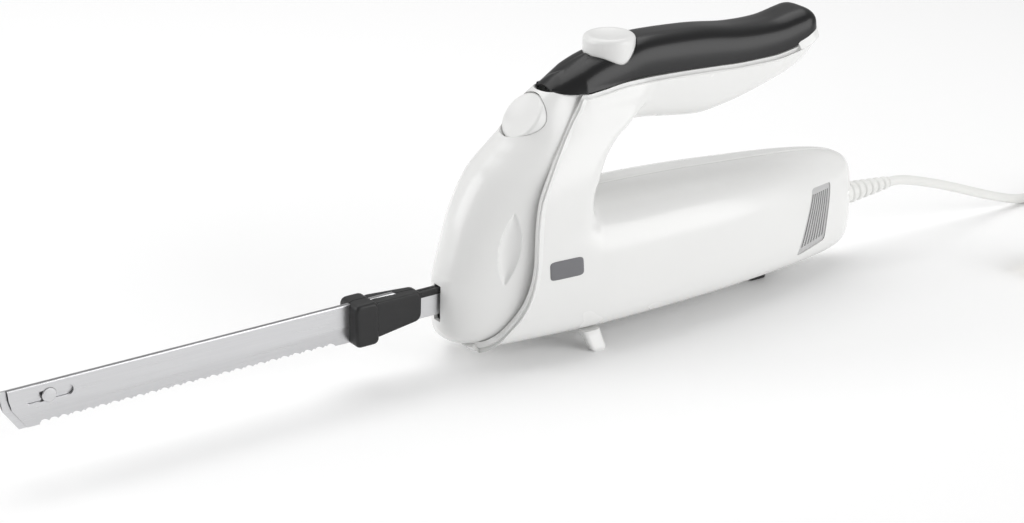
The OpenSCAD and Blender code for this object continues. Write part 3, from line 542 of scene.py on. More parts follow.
def finish(name, group, values, metallic=0.0, dust_and_shade=0.0, **sockets):
    """A material: one skin group, a veil of dust and painted shade on upward faces where asked, and fixed values
    on the shader.
    """
    material = bpy.data.materials.new(name)
    material.use_nodes = True
    tree = material.node_tree
    shader = tree.nodes["Principled BSDF"]
    shader.inputs["Metallic"].default_value = metallic
    for socket, value in sockets.items():
        shader.inputs[socket.replace("_", " ")].default_value = value
    skin = tree.nodes.new("ShaderNodeGroup")
    skin.node_tree = group
    for socket, value in values.items():
        skin.inputs[socket.replace("_", " ")].default_value = value
    colour = skin.outputs["Colour"]
    if dust_and_shade:
        veil = tree.nodes.new("ShaderNodeGroup")
        veil.node_tree = dust_and_top_shade
        veil.inputs["Amount"].default_value = dust_and_shade
        tree.links.new(colour, veil.inputs["Colour"])
        colour = veil.outputs["Colour"]
    tree.links.new(colour, shader.inputs["Base Color"])
    tree.links.new(skin.outputs["Roughness"], shader.inputs["Roughness"])
    tree.links.new(skin.outputs["Normal"], shader.inputs["Normal"])
    finishes[name] = material
    return material


def plastic(name, colour, gloss, grain=0.05, size=900.0, tone=0.03, dust_and_shade=0.0, **sockets):
    """A moulded plastic or rubber."""
    values = dict(Colour=(*colour, 1), Tone=tone, Gloss=gloss, Gloss_Spread=0.08, Grain_Size=size,
                  Grain_Depth=grain)
    return finish(name, moulded_skin, values, dust_and_shade=dust_and_shade, **sockets)


def metal(name, colour, gloss, stretch=(20, 400, 1500), contrast=0.15, depth=0.1, **sockets):
    """A metal with drawn or ground streaks."""
    values = dict(Colour=(*colour, 1), Stretch=stretch, Contrast=contrast, Gloss=gloss,
                  Gloss_Spread=0.18, Streak_Depth=depth)
    return finish(name, drawn_metal, values, metallic=1.0, **sockets)


# the white shell's upward faces are darkened a little: dust, and painted shade that makes the tops greyer
plastic("white_shell", (0.80, 0.80, 0.79), 0.26, grain=0.03, tone=0.02, dust_and_shade=0.05, Coat_Weight=0.25,
        Coat_Roughness=0.12)
plastic("white_button", (0.78, 0.78, 0.77), 0.34, grain=0.05, tone=0.02, Coat_Weight=0.1)
plastic("black_grip", (0.009, 0.009, 0.0095), 0.3, grain=0.05, tone=0.3, Specular_IOR_Level=0.32,
        Coat_Weight=0.08, Coat_Roughness=0.15)
plastic("black_moulding", (0.012, 0.012, 0.0125), 0.42, grain=0.1, size=1400.0, tone=0.3,
        Specular_IOR_Level=0.4)
plastic("foot_rubber", (0.03, 0.03, 0.03), 0.75, grain=0.3, size=2200.0, tone=0.3)
plastic("mark_print", (0.16, 0.16, 0.17), 0.5, grain=0.1, tone=0.2)
plastic("vent_plastic", (0.50, 0.50, 0.50), 0.42, grain=0.08)
plastic("natural_nylon", (0.62, 0.60, 0.54), 0.45, grain=0.08)
plastic("carbon", (0.03, 0.03, 0.03), 0.65, grain=0.2)
plastic("capacitor_film", (0.62, 0.46, 0.08), 0.35)
plastic("lead_sleeve", (0.6, 0.6, 0.6), 0.5)
plastic("cord_vinyl", (0.80, 0.80, 0.78), 0.38, grain=0.12, size=700.0, tone=0.04)
metal("blade_steel", (0.60, 0.60, 0.61), 0.30, stretch=(25, 500, 1600))
metal("bright_steel", (0.62, 0.62, 0.63), 0.22)
metal("spring_steel", (0.55, 0.55, 0.56), 0.28)
metal("plated_screw", (0.5, 0.5, 0.5), 0.3, stretch=(600, 600, 600))
metal("frame_steel", (0.32, 0.32, 0.33), 0.42)
metal("core_steel", (0.25, 0.25, 0.26), 0.5, stretch=(1500, 40, 40))
metal("winding_copper", (0.62, 0.26, 0.12), 0.35, stretch=(60, 1200, 1200), contrast=0.5, depth=0.5)
metal("commutator_copper", (0.68, 0.34, 0.18), 0.3)
metal("worm_brass", (0.66, 0.50, 0.22), 0.3)
metal("pin_brass", (0.68, 0.55, 0.28), 0.25)

slot_of = {}
for row in frame["record"]["subparts"]:
    slot_of[row["node"]] = row["material_slot"]
for node_name, node in frame["nodes"].items():
    node.data.materials.clear()
    node.data.materials.append(finishes[slot_of[node_name]])


# ---------------------------------------------------------------- housing
SPOKE_SLIDE = 0.75                  # how far towards a ring's outer point its last spoke starts


def shell_grid(side, rings=300, spokes=78):
    """One shell's outside: each ring lies in a plane through a pair of guide points. Its spokes start
    between them, further towards the outer point as they turn, and end on the housing; they reach the
    side edge level with the outer point, then turn on under the keel by what the ring's share leaves."""
    t = np.linspace(0, len(SHELL_GUIDE) - 1, rings)
    guide = np.stack([np.interp(t, np.arange(len(SHELL_GUIDE)), SHELL_GUIDE[:, k]) for k in range(5)], -1)
    inner = np.stack([guide[:, 0], 0 * t, guide[:, 1]], -1)
    outer = np.stack([guide[:, 2], 0 * t, guide[:, 3]], -1)
    centre = (inner + outer) / 2
    up = inner - outer
    up /= np.linalg.norm(up, axis=1, keepdims=True)
    across = np.tile([0.0, -1.0, 0.0], (rings, 1))
    edge = first_crossing(housing_outside, outer + up * 0.3, across, 36)
    half = np.linalg.norm(outer - centre, axis=1)
    share = np.clip(guide[:, 4:], 0, 1)
    to_edge = (math.pi - np.arctan2(edge, half * (1 - SPOKE_SLIDE)))[:, None]
    s = np.concatenate([[0, 0.004, 0.009, 0.016, 0.026], np.linspace(0.04, 0.98, spokes), np.ones(14)])
    at_edge = len(s) - 14
    under = np.maximum(np.arange(len(s)) - at_edge, 0) / 13
    angle = to_edge * s + (math.pi - to_edge) * (1 - share) * under
    ray = np.cos(angle)[..., None] * up[:, None, :] + np.sin(angle)[..., None] * across[:, None, :]
    start = centre[:, None, :] - up[:, None, :] * (SPOKE_SLIDE * half[:, None] * s**2)[..., None]
    length = first_crossing(housing_outside, start, ray, 75, marches=50)
    groove = 0.35 * np.exp(-(length * np.sin(angle) / 0.5)**2)
    grid = start + (length - groove)[..., None] * ray
    rim = grid[:, -1:]
    inward = -facing(housing_outside, rim)
    before = np.where(share[..., None] > 0.95, grid[:, at_edge - 1:at_edge], grid[:, -2:-1]) - rim
    before -= (before * inward).sum(axis=-1, keepdims=True) * inward
    before /= np.maximum(np.linalg.norm(before, axis=-1, keepdims=True), 1e-6)
    grid[:, at_edge:] = np.where(share[..., None] > 0.95, rim + EDGE_ROUND * before, grid[:, at_edge:])
    rolled = [rim + EDGE_ROUND * ((1 - math.sin(t)) * before + (1 - math.cos(t)) * inward)
              for t in np.linspace(0, math.pi / 2, 6)]
    grid = np.concatenate([grid[:, :-1], *rolled, rim + (WALL + 0.6) * inward], axis=1)
    grid[..., 1] = np.minimum(grid[..., 1], -SEAM)
    stern = grid[:1].copy()
    stern[..., 1] = -SEAM
    grid = np.concatenate([stern, grid])
    return grid if side < 0 else mirrored(grid)


def keep_to_side(piece, side):
    """Draws the points of a shell's wall that cross the seam, or pass the stern, back to it."""
    place = np.empty(len(piece.data.vertices) * 3)
    piece.data.vertices.foreach_get("co", place)
    place = place.reshape(-1, 3)
    place[:, 1] = side * np.maximum(side * place[:, 1], SEAM * MM)
    place[:, 0] = np.minimum(place[:, 0], on_table([BODY_END, 0, 0])[0])
    piece.data.vertices.foreach_set("co", place.ravel())
    piece.data.update()


def vent_cutter(side):
    """A bar with the vent's slanted four-sided outline, its corners rounded."""
    corners = VENT_CORNERS
    middle = (corners[:1] + corners[1:2]) / 2
    outline = rounded(np.vstack([middle, corners[1:], corners[:1], middle]), 1.8, 7)[:-1]
    place = (np.zeros(3), np.array([1.0, 0, 0]), np.array([0, 0, 1.0]), np.array([0, side, 0.0]))
    return prism("vent_cutter", outline, 5, 45, place)


def surface_patch(side, x, z, lift):
    """Points of the housing's outside, or lifted off it, at side-view places x and z."""
    start = np.stack([x, 0 * x, z], -1)
    ray = np.broadcast_to(np.array([0, side, 0.0]), start.shape)
    depth = first_crossing(housing_outside, start, ray, 45)
    return start + (depth + lift)[..., None] * ray


def vent_panel(side):
    """A vent's panel: a grid between the slanted corners, with its slots sunk between grid lines."""
    slot_sides = [SLOT_AT + k for k in (-0.026, -0.02, 0.02, 0.026)]
    s = np.unique(np.concatenate([np.linspace(0, 1, 8), *slot_sides]))
    t = np.unique(np.concatenate([np.linspace(0, 1, 26), [0.1, 0.11, 0.89, 0.9]]))
    s2, t2 = np.meshgrid(s, t, indexing="ij")
    low = VENT_CORNERS[0] + s2[..., None] * (VENT_CORNERS[1] - VENT_CORNERS[0])
    high = VENT_CORNERS[3] + s2[..., None] * (VENT_CORNERS[2] - VENT_CORNERS[3])
    place = low + t2[..., None] * (high - low)
    grid = surface_patch(side, place[..., 0], place[..., 1], -0.55)
    away = np.abs(s2[..., None] - SLOT_AT).min(axis=-1)
    sunk = (away < 0.023) & (t2 > 0.105) & (t2 < 0.895)
    grid[..., 1] -= side * 1.3 * sunk
    return grid


VENT_CORNERS = np.array([[197.5, 17.5], [219, 20.5], [223, 50], [208, 50.5]])
SLOT_AT = np.linspace(0.12, 0.88, 8)

for side, word in ((-1, "left"), (1, "right")):
    shell = grid_piece("shell_" + word, shell_grid(side), "white_shell", turned=side > 0)
    keep_to_side(walled(shell, edge=0), side)
    cut(shell, vent_cutter(side))
    belongs(shell, "housing", "white_shell", "housing_" + word)
    panel = grid_piece("vent_panel_" + word, vent_panel(side), "vent_plastic", turned=side > 0, crisp=25)
    walled(panel, wall=1.0, edge=0.08)
    belongs(panel, "housing", "vent_plastic", "vent_" + word)


def rim_well(name, place, radius, depth, outside, finish_name, corner=0.8, highest=20.0):
    """A round well: its wall runs from where it meets the outside down to a floor, with a small
    round at the rim and at the bottom."""
    origin, u, v, w = place
    a = np.arange(128) * ONE_TURN / 128
    ring = np.cos(a)[:, None] * u + np.sin(a)[:, None] * v
    bottom = origin + radius * ring - depth * w
    rim = first_crossing(outside, bottom, np.broadcast_to(w, bottom.shape), depth + highest, 60) - depth
    outer = origin + (radius + 1.2) * ring - depth * w
    lip = first_crossing(outside, outer, np.broadcast_to(w, outer.shape), depth + highest, 60) - depth
    rows = [(radius + 1.2, lip - 0.3), (radius + 0.35, (rim * 0.7 + lip * 0.3) + 0.02),
            (radius, rim - 0.25), (radius, rim * 0.5 - depth * 0.5), (radius, 0 * rim - depth + corner),
            (radius - corner * 0.3, 0 * rim - depth + corner * 0.3), (radius - corner, 0 * rim - depth),
            (radius * 0.5, 0 * rim - depth), (1e-5, 0 * rim - depth)]
    grid = np.stack([origin + r * ring + np.maximum(h, -depth)[:, None] * w for r, h in rows])
    return grid_piece(name, grid, finish_name, round_columns=True, turned=True, crisp=50)


# ---------------------------------------------------------------- nose cover
def nose_grid(rows=230, columns=221):
    """The nose cover's outside: half-oval sections up z from crease to crease, with an almond-shaped
    thumb hollow pressed into each cheek and a flat sole."""
    z = np.linspace(9.6, 124.6, rows)
    ridge, width = read(NOSE_RIDGE, z), read(NOSE_WIDTH, z)
    back = np.interp(z, CREASE[:, 1], CREASE[:, 0]) + 5
    least = np.clip((NOSE_BACK - back) / (NOSE_BACK - ridge), 0.02, 1)**(2.35 / 2)
    t = np.linspace(-1, 1, columns)
    a = np.arccos(least)[:, None] * t
    c, s = np.cos(a), np.sin(a)
    x = NOSE_BACK - (NOSE_BACK - ridge)[:, None] * c**(2 / 2.35)
    x += np.maximum(back - NOSE_BACK + 1, 0)[:, None] * np.abs(t)**8
    y = width[:, None] * np.sign(s) * np.abs(s)**(2 / 2.35)
    up = (z[:, None] - HOLLOW_Z) / HOLLOW_HALF_Z
    lean = HOLLOW_X + HOLLOW_LEAN * up
    half = HOLLOW_HALF_X * np.clip(1 - up**2, 0, 1)
    side_way = (x - lean) / np.maximum(half, 1e-3)
    dip = HOLLOW_DEPTH * np.clip(1 - side_way**2, 0, 1)**0.7 * np.clip(1 - up**2, 0, 1)**0.5
    normal = np.stack([-(NOSE_BACK - x) / (NOSE_BACK - ridge)[:, None]**2, y / width[:, None]**2], -1)
    normal /= np.linalg.norm(normal, axis=-1, keepdims=True)
    grid = np.stack([x - dip * normal[..., 0], y - dip * normal[..., 1],
                     np.broadcast_to(z[:, None], x.shape)], -1)
    grid[..., 2] = np.minimum(grid[..., 2], np.where(x > 56, read(GRIP_EDGE, x) - 0.1, 200))
    sole = grid[:1] * np.array([1, 0.55, 1]) + np.array([5, 0, -0.4])
    keel = grid[:1] * np.array([1, 0.02, 1]) + np.array([9, 0, -0.4])
    return np.concatenate([keel, sole, grid])


HOLLOW_Z, HOLLOW_HALF_Z, HOLLOW_X, HOLLOW_HALF_X = 58.5, 17.0, 26.6, 5.2
HOLLOW_LEAN, HOLLOW_DEPTH = 3.2, 2.0

eject_axis = axis_frame([EJECT_X, 0, EJECT_Z], [-math.sin(EJECT_TILT), 0, math.cos(EJECT_TILT)])
nose = grid_piece("nose_cover_skin", nose_grid(), "white_shell")
walled(nose, wall=2.0, edge=0)
slot_place = (np.zeros(3), np.array([0, 1.0, 0]), np.array([0, 0, 1.0]), np.array([1.0, 0, 0]))
slot_outline = rounded([[0, 22.3], [2.7, 22.3], [2.7, 40], [-2.7, 40], [-2.7, 22.3], [0, 22.3]], 0.8)[:-1]
cut(nose, prism("slot_cutter", slot_outline, -8, 8, slot_place),
    round_cutter("cup_cutter", EJECT_R + 0.35, -CUP_DEPTH - 3, 30, eject_axis))
belongs(nose, "housing", "white_shell", "nose_cover")
cup = rim_well("eject_cup", eject_axis, EJECT_R + 0.3, CUP_DEPTH, nose_outside, "white_shell")
belongs(cup, "housing", "white_shell")


# ---------------------------------------------------------------- grip
def grip_grid(rows=240, columns=120):
    """The grip's outside: upright sections along x, each fanned over the top from edge to edge and
    rolled in a little at the edges; the front and rear rows close to points."""
    x = np.concatenate([np.linspace(59.6, 66, 24)[:-1], np.linspace(66, 205, rows - 70),
                        HANDLE_END - 11.4 * (1 - np.sin(np.linspace(0.02, 1, 40) * math.pi / 2))])
    z = np.minimum(read(GRIP_EDGE, x), TIP_Z + np.maximum(x - 61, 0)) + 0.12
    angle = np.linspace(0, math.pi, columns)
    ray = np.stack([0 * angle, -np.cos(angle), np.sin(angle)], -1)[None] + 0 * x[:, None, None]
    centre = np.stack([x, 0 * x, z], -1)
    start = np.broadcast_to(centre[:, None, :], ray.shape)
    length = first_crossing(handle_or_column, start, ray, 30)
    grid = start + length[..., None] * ray
    grid = np.concatenate([grid[:1] * 0 + grid[:1].mean(axis=1, keepdims=True), grid,
                           grid[-1:] * 0 + grid[-1:].mean(axis=1, keepdims=True)])
    lip_in = np.array([1, 0.93, 1])
    low = np.array([0, 0, -0.12])
    return np.concatenate([grid[:, :1] * lip_in + low, grid, grid[:, -1:] * lip_in + low], axis=1)


TIP_Z = 124.3                       # underside of the grip's blunt front tip


def handle_or_column(x, y, z):
    """The outline that the grip covers: the handle with the column and the nose's top run into it."""
    nose_top = nose_outside(x, y, z) + 0.25 * np.maximum(z - 121, 0)**2 + np.maximum(x - 66, 0)
    handle = soft_min(column_outside(x, y, z), handle_outside(x, y, z), 6)
    return soft_min(handle, nose_top, 3)


upright = axis_frame([POWER_X, 0, 0], [0, 0, 1])
grip = grid_piece("grip_cap", grip_grid(), "black_grip")
walled(grip, wall=1.6, edge=0)
cut(grip, round_cutter("well_cutter", POWER_R + 0.55, WELL_FLOOR, WELL_FLOOR + 30, upright))
belongs(grip, "housing", "black_grip", "handle_grip")
well_place = axis_frame([POWER_X, 0, WELL_FLOOR + 9], [0, 0, 1])
well = rim_well("power_well", well_place, POWER_R + 0.5, 9, handle_outside, "black_grip")
belongs(well, "housing", "black_grip")


# ---------------------------------------------------------------- buttons
def dished(radius, low, high, round_low, round_high, dish_r, dish_at, stem, hollow=0.0):
    """Half-section of a thumb button: a rounded rim round a shallow spherical dish, on a stem; the
    skirt stands lower than the underside by the hollow."""
    a = np.linspace(0, math.pi / 2, 10)
    foot = [[0, stem[1]], [stem[0], stem[1]], [stem[0], low + hollow]]
    if hollow:
        foot += [[radius - 1.65, low + hollow], [radius - 1.65, low]]
    skirt = [[radius - round_low + round_low * math.sin(t), low + round_low - round_low * math.cos(t)]
             for t in a]
    rim = [[radius - round_high + round_high * math.cos(t), high - round_high + round_high * math.sin(t)]
           for t in a]
    rim = [p for p in rim if math.hypot(p[0], dish_at - p[1]) > dish_r]
    widest = math.sqrt(max(dish_r**2 - (dish_at - rim[-1][1])**2, 1))
    bowl = [[r, dish_at - math.sqrt(dish_r**2 - r * r)] for r in np.linspace(widest, 0, 22)]
    return foot + skirt + rim + bowl


power_cap = turned_piece("power_button_cap", dished(
    POWER_R, WELL_FLOOR + POWER_TRAVEL + 0.1, POWER_TOP, 1.5, 2.5, 35.2, POWER_TOP + 34,
    stem=(2.5, WELL_FLOOR + 0.05)), upright, "white_button")
belongs(power_cap, "power_button", "white_button", "power_button")
eject_cap = turned_piece("eject_button_cap", dished(
    EJECT_R, -3.9, 2.5, 0.3, 1.6, 41.4, 42.4, stem=(3.0, -15.6), hollow=3.3), eject_axis, "white_button")
belongs(eject_cap, "eject_button", "white_button", "eject_button")


# ---------------------------------------------------------------- blades
def blade_grid(side, reach, columns=900, rows=13):
    """One blade as rings round its section, along its length: both faces run up from the scalloped
    edge, the outer one thinned by the ground band; the tip's end leans back."""
    tip = -reach
    x = np.concatenate([np.linspace(0, 190, columns) + tip, np.linspace(tip + 190.6, 28, 60)])
    bottom = np.interp(x, [-46, -20, -14, 28], [BLADE_Z - BLADE_HIGH / 2, 25, 26, 26])
    top = np.interp(x, [-24, -18, 28], [BLADE_Z + BLADE_HIGH / 2, 38.2, 38.2])
    teeth = math.floor((reach - 62) / TOOTH_PITCH)
    first = tip + 8.2 + 0.65 * TOOTH_PITCH
    nearest = np.clip(np.round((x - first) / TOOTH_PITCH), 0, teeth - 1) * TOOTH_PITCH + first
    round_r = 2.2 + TOOTH_DEPTH
    scallop = np.sqrt(np.maximum(round_r**2 - (x - nearest)**2, 0)) - 2.2
    edge = bottom + np.maximum(scallop, 0)
    v = np.concatenate([np.linspace(0, 0.42, rows - 5), [0.46, 0.5, 0.75, 0.97, 1]])
    z = edge[:, None] + v * (top - edge)[:, None]
    band = np.clip((z - bottom[:, None]) / GROUND_HIGH, 0, 1) + (x[:, None] > -44)
    thick = np.clip(0.16 + 0.84 * band, 0, 1) * BLADE_THICK
    thick[:, -1] -= 0.12
    lean_at = np.clip(1 - (x - tip) / 26, 0, 1)[:, None]
    share = np.clip((z - bottom[:, None]) / BLADE_HIGH, 0, 1)
    lean = np.interp(share, [0, 11 / 19, 1], [8.2, 0.6, 0])
    x2 = x[:, None] + lean_at * lean
    outer = np.stack([x2, BLADE_GAP + thick, z], -1)
    inner = np.stack([x2, BLADE_GAP + 0 * thick, z], -1)
    rings = np.concatenate([outer, inner[:, ::-1]], axis=1)
    rings[..., 1] *= side
    return rings


GROUND_HIGH = 8.0

for side, word, reach in ((-1, "left", REACH), (1, "right", REACH + RIGHT_EXTRA)):
    blade = lofted("blade_steel_" + word, blade_grid(side, reach), "blade_steel", crisp=8)
    if side < 0:
        a = np.linspace(-math.pi / 2, math.pi / 2, 13)
        end = np.stack([9 + 2.4 * np.cos(a), 2.4 * np.sin(a)], -1)
        place = (np.array([RIVET_X, 0, RIVET_Z]), np.array([1.0, 0, 0]), np.array([0, 0, 1.0]),
                 np.array([0, 1.0, 0]))
        cut(blade, prism("slot_cutter", np.vstack([end, -end]), -3, 1, place))
        blade.data.set_sharp_from_angle(angle=math.radians(8))
    belongs(blade, word + "_blade", "blade_steel", "blade_" + word)

rivet_axis = axis_frame([RIVET_X, 0, RIVET_Z], [0, 1, 0])
rivet_profile = [[0, -1.75], [2.4, -1.75], [3.1, -1.62], [3.4, -1.25], [1.5, -1.25], [1.5, 1.15],
                 [2.6, 1.15], [2.6, 1.5], [2.2, 1.65], [0, 1.65]]
rivet = turned_piece("rivet_turned", rivet_profile, rivet_axis, "bright_steel", 48)
belongs(rivet, "right_blade", "bright_steel", "blade_rivet")


def grip_wing(side, corners, tops, soft, finish_name, name):
    """A moulded pad on a blade: an outline of side-view corners, each with its own height off the
    middle plane, rounded in plan by a curve and over the edge by a quarter circle."""
    first = (corners[0] + corners[1]) / 2
    closed = np.vstack([first, corners[1:], corners[0], first])
    outline = rounded(closed, soft[0], 9)[:-1]
    middle = outline.mean(axis=0)
    fit = np.linalg.lstsq(np.column_stack([corners, np.ones(len(corners))]), np.array(tops), rcond=None)[0]
    reach = np.linalg.norm(outline - middle, axis=1).mean()
    rings = [np.stack([outline[:, 0], np.full(len(outline), 0.18), outline[:, 1]], -1)]
    for t in np.linspace(0, math.pi / 2, 9):
        k = 1 - soft[1] * (1 - math.cos(t)) / reach
        flat = middle + (outline - middle) * k
        high = np.column_stack([flat, np.ones(len(flat))]) @ fit - soft[1] * (1 - math.sin(t))
        rings.append(np.stack([flat[:, 0], high, flat[:, 1]], -1))
    for k in (0.75, 0.5, 0.25, 0.02):
        flat = middle + (rings[-1][:, [0, 2]] * 0 + (outline - middle) * k * (1 - soft[1] / reach))
        high = np.column_stack([flat, np.ones(len(flat))]) @ fit
        rings.append(np.stack([flat[:, 0], high, flat[:, 1]], -1))
    rings = np.array(rings)
    rings[..., 1] *= side
    return lofted(name, rings, finish_name, crisp=50)


for side, word in ((-1, "left"), (1, "right")):
    rib = grip_wing(side, np.array([[-48, 22], [-36, 22], [-36, 43], [-48, 43]], float),
                    [7.75] * 4, (3.4, 1.8), "black_moulding", "grip_rib_" + word)
    wing = grip_wing(side, np.array([[-38, 24], [-11, 26.7], [-10.5, 41], [-38, 42]], float),
                     [6.2, 4.15, 4.15, 6.2], (3.4, 1.5), "black_moulding", "grip_wing_" + word)
    spine = grip_wing(side, np.array([[-20, 36.4], [14, 36.4], [14, 39.4], [-20, 39.4]], float),
                      [1.9] * 4, (0.5, 0.3), "black_moulding", "grip_spine_" + word)
    for piece in (rib, wing, spine):
        belongs(piece, word + "_blade", "black_moulding", "blade_grip_" + word)


# ---------------------------------------------------------------- small outside pieces
def foot_rings(side):
    """A splayed prong: rounded oblongs that shrink and lean outwards on their way down."""
    rings = []
    for k in np.linspace(0, 1, 12):
        half = np.array([5 - 0.75 * k, 3.5 - 1.5 * k]) * (1 - 0.25 * max(0, k - 0.9) / 0.1)
        ring = pad_rings(half[0], half[1], [0], [0], n=4, count=40)[0]
        middle = np.array([70 + 2.25 * k, 23.5 + 5 * k**1.3, 9.6 * (1 - k)])
        rings.append(ring + middle)
    return np.array(rings) * np.array([1, side, 1])


for side, word in ((-1, "left"), (1, "right")):
    foot = lofted("front_foot_" + word, foot_rings(side), "white_shell", crisp=50)
    belongs(foot, "housing", "white_shell", "front_feet")

rear = pad_rings(6, 5, [8.9, 8.2, 1.0, 0.3, 0.0], [0, 0, 0.9, 1.1, 1.7], n=6) + np.array([190, 0, 0])
rear_foot = lofted("rear_foot_pad", rear, "foot_rubber", crisp=50)
belongs(rear_foot, "housing", "foot_rubber", "rear_foot")

a = np.arange(80) * ONE_TURN / 80
panel_x = 52 + 9 * np.sign(np.cos(a)) * np.abs(np.cos(a))**(2 / 7)
panel_z = 46.5 + 4.5 * np.sign(np.sin(a)) * np.abs(np.sin(a))**(2 / 7)
rows = [surface_patch(-1, 52 + (panel_x - 52) * k, 46.5 + (panel_z - 46.5) * k, lift)
        for k, lift in ((1, -0.1), (1, 0.14), (0.985, 0.2), (0.8, 0.2), (0.5, 0.2), (1e-5, 0.2))]
mark = grid_piece("rating_panel", np.array(rows), "mark_print", round_columns=True)
belongs(tidy_normals(mark), "housing", "mark_print", "printed_mark")

for number, (x, z) in enumerate(POST_SPOTS, 1):
    sunk = (np.array([x, 11.0, z]), np.array([1.0, 0, 0]), np.array([0, 0, -1.0]), np.array([0, 1.0, 0]))
    depth = first_crossing(housing_outside, np.array([[x, 0.0, z]]), np.array([[0, 1.0, 0]]), 45)[0]
    place = (np.array([x, depth, z]),) + sunk[1:]
    cover = turned_piece("screw_cover_%d" % number, rounded(
        [[0, -1.5], [3.1, -1.5], [3.1, 0.35], [2.6, 0.35], [0, 0.35]], 0.3), place, "white_button", 48)
    belongs(cover, "housing", "white_button")

guard_axis = axis_frame([0, 0, 33], [1, 0, 0])
profile = [[0, 238], [7.2, 238], [7.2, 240.4], [5.4, 241], [5.2, 249.6]]
for k in range(6):
    x, r = 250.4 + 4.6 * k, 5.6 - 0.42 * k
    profile += [[r - 0.8, x], [r, x + 0.7], [r, x + 2.6], [r - 0.8, x + 3.3], [r - 1.1, x + 4.0]]
profile += [[2.9, 277.8], [2.75, 278.7], [0, 279]]
guard = turned_piece("cord_guard_ribs", rounded(profile, 0.5, 5), guard_axis, "cord_vinyl", 64, 60)
belongs(guard, "housing", "cord_vinyl", "cord_guard")


# ---------------------------------------------------------------- cord and plug
CORD_ROUTE = [[256, 0, 33], [268, 0, 33], [279, 0, 33], [285, 0, 32.6], [293, 0, 31], [303, 0, 28],
              [314, 0, 24.4], [326, 0, 20], [338, 0, 15.4], [350, 0, 10.8], [361, 0, 7], [371, 0, 4],
              [380, 0, 2.7], [392, 0, 2.6], [404, 0, 2.6]]
COIL_AT, COIL_OUTER, COIL_TURNS = (412, -35), 35.0, 5.5
CORD_TAIL = [[400, -71.4, 7], [389, -73.4, 5.6], [379, -76.2, 3.9], [370, -79, 3.4], [361, -80.6, 4.8],
             [350, -81, 7]]
PLUG_AT = np.array([350, -81, 7.5])


def coil_line():
    """Turns of the coiled cord: lanes one diameter apart step inwards on the table, climb at the
    middle and step out again on top."""
    t = np.arange(0, COIL_TURNS + 0.001, 1 / 40)
    step = np.clip((t % 1 - 0.8) / 0.2, 0, 1)
    lane = np.floor(t) + step * step * (3 - 2 * step)
    lane = np.where(lane > 2.5, np.where(t < 3, 2, 5 - lane), np.minimum(lane, 2))
    lane = np.where((t >= 2) & (t < 3.8), 2, lane)
    r = COIL_OUTER - CORD_D * lane
    climb = np.clip((t - 2.7) / 0.3, 0, 1)
    z = 2.6 + 4.9 * climb * climb * (3 - 2 * climb)
    a = math.pi / 2 - t * ONE_TURN
    return np.stack([COIL_AT[0] + r * np.cos(a), COIL_AT[1] + r * np.sin(a), z], -1)


line = np.vstack([through(CORD_ROUTE, 4), coil_line(), through(CORD_TAIL, 4)])
curve = bpy.data.curves.new("mains_cord", "CURVE")
curve.dimensions = "3D"
curve.bevel_depth = CORD_D / 2 * MM
curve.bevel_resolution = 6
curve.use_fill_caps = True
spline = curve.splines.new("POLY")
spline.points.add(len(line) - 1)
spline.points.foreach_set("co", np.column_stack([on_table(line), np.ones(len(line))]).ravel())
for point in spline.points:
    point.radius = 1.0
spline.use_smooth = True
curve.materials.append(finishes["cord_vinyl"])
cord = bpy.data.objects.new("mains_cord", curve)
bpy.context.scene.collection.objects.link(cord)
belongs(cord, "housing", "cord_vinyl", "power_cord", "cord_coil", "cord_tail")


def plug_rings():
    """The plug's body: a round collar that swells into a rounded oblong and a flange, along -x."""
    rings = []
    a = np.arange(64) * ONE_TURN / 64
    for along, wide, tall, n in ((0, 3.0, 3.0, 2), (0.6, 3.8, 3.8, 2), (7, 3.9, 3.9, 2), (9.5, 5.2, 4.8, 2),
                                 (12, 8.6, 6.4, 2.3), (14.5, 10.4, 6.9, 2.6), (18, 10.9, 7, 2.8),
                                 (23, 10.8, 6.9, 2.8), (24, 11, 7, 2.8), (24.2, 13, 7.2, 2.8),
                                 (25, 13.3, 7.4, 2.8), (27.4, 13.3, 7.4, 2.8), (28, 12.8, 7.0, 2.8)):
        c, s = np.cos(a), np.sin(a)
        rings.append(PLUG_AT + np.stack([np.full(64, -along, float),
                                         wide * np.sign(c) * np.abs(c)**(2 / n),
                                         tall * np.sign(s) * np.abs(s)**(2 / n)], -1))
    return np.array(rings)


plug = lofted("plug_moulding", plug_rings(), "cord_vinyl", crisp=40)
belongs(plug, "housing", "cord_vinyl", "plug_body")
for side in (-1, 1):
    pin = pad_rings(0.8, 3.0, [28, 43.2, 44.2, 44.5], [0, 0, 0.25, 0.6], n=8, count=40)
    turn = np.stack([PLUG_AT[0] - pin[..., 2], PLUG_AT[1] + 6.35 * side + pin[..., 0],
                     PLUG_AT[2] + pin[..., 1]], -1)
    blade = lofted("plug_pin_%s" % ("left" if side < 0 else "right"), turn, "pin_brass", crisp=50)
    belongs(blade, "housing", "pin_brass", "plug_pins")


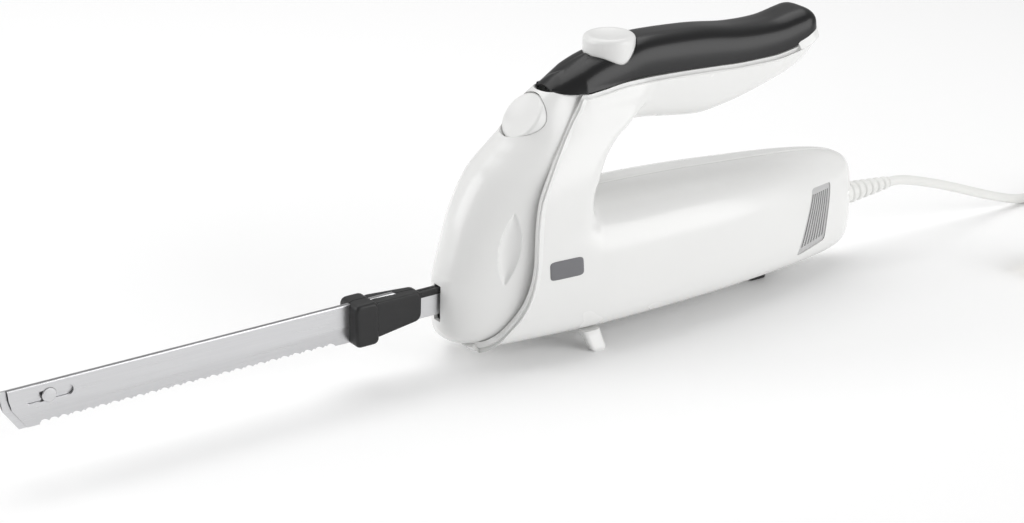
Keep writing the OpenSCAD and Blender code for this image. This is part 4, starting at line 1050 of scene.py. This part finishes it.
# ---------------------------------------------------------------- table, light and view
def stage_plane(name, size, height):
    """A level square under the knife."""
    h = size / 2
    mesh = bpy.data.meshes.new(name)
    mesh.from_pydata([(-h, -h, height), (h, -h, height), (h, h, height), (-h, h, height)], [], [(0, 1, 2, 3)])
    plane = bpy.data.objects.new(name, mesh)
    bpy.context.scene.collection.objects.link(plane)
    return plane


def softbox(name, place, target, size, watts):
    """A large soft lamp that faces the target."""
    lamp = bpy.data.lights.new(name, "AREA")
    lamp.shape = "RECTANGLE"
    lamp.size, lamp.size_y = size
    lamp.energy = watts
    box = bpy.data.objects.new(name, lamp)
    bpy.context.scene.collection.objects.link(box)
    box.location = place
    box.rotation_euler = (Vector(target) - Vector(place)).to_track_quat("-Z", "Y").to_euler()
    return box


table = stage_plane("table", 12.0, 0.0)
paper = bpy.data.materials.new("table_paper")
paper.use_nodes = True
paper.node_tree.nodes["Principled BSDF"].inputs["Base Color"].default_value = (1, 1, 1, 1)
paper.node_tree.nodes["Principled BSDF"].inputs["Roughness"].default_value = 0.6
table.data.materials.append(paper)

middle = (0.06, 0.0, 0.06)
softbox("overhead", (0.15, 0.45, 1.25), middle, (1.5, 1.1), 9.0)
softbox("left_rear", (-1.35, 0.75, 0.75), middle, (1.2, 1.2), 12.0)
softbox("right_front", (1.0, -1.5, 0.6), middle, (1.4, 1.2), 17.0)

world = bpy.data.worlds.new("studio")
world.use_nodes = True
world.node_tree.nodes["Background"].inputs["Color"].default_value = (1, 1, 1, 1)
world.node_tree.nodes["Background"].inputs["Strength"].default_value = 0.40
bpy.context.scene.world = world
bpy.context.scene.view_settings.view_transform = "Standard"

AZIMUTH, ELEVATION = math.radians(-34.3), math.radians(22.0)
lens = bpy.data.cameras.new("view")
lens.lens = 91.97
lens.sensor_width = 36.0
lens.clip_end = 60.0
camera = bpy.data.objects.new("view", lens)
bpy.context.scene.collection.objects.link(camera)
camera.location = (-0.61645, -0.9430, 0.5034)
back = Vector((math.sin(AZIMUTH) * math.cos(ELEVATION), -math.cos(AZIMUTH) * math.cos(ELEVATION),
               math.sin(ELEVATION)))
camera.rotation_euler = back.to_track_quat("Z", "Y").to_euler()
bpy.context.scene.camera = camera
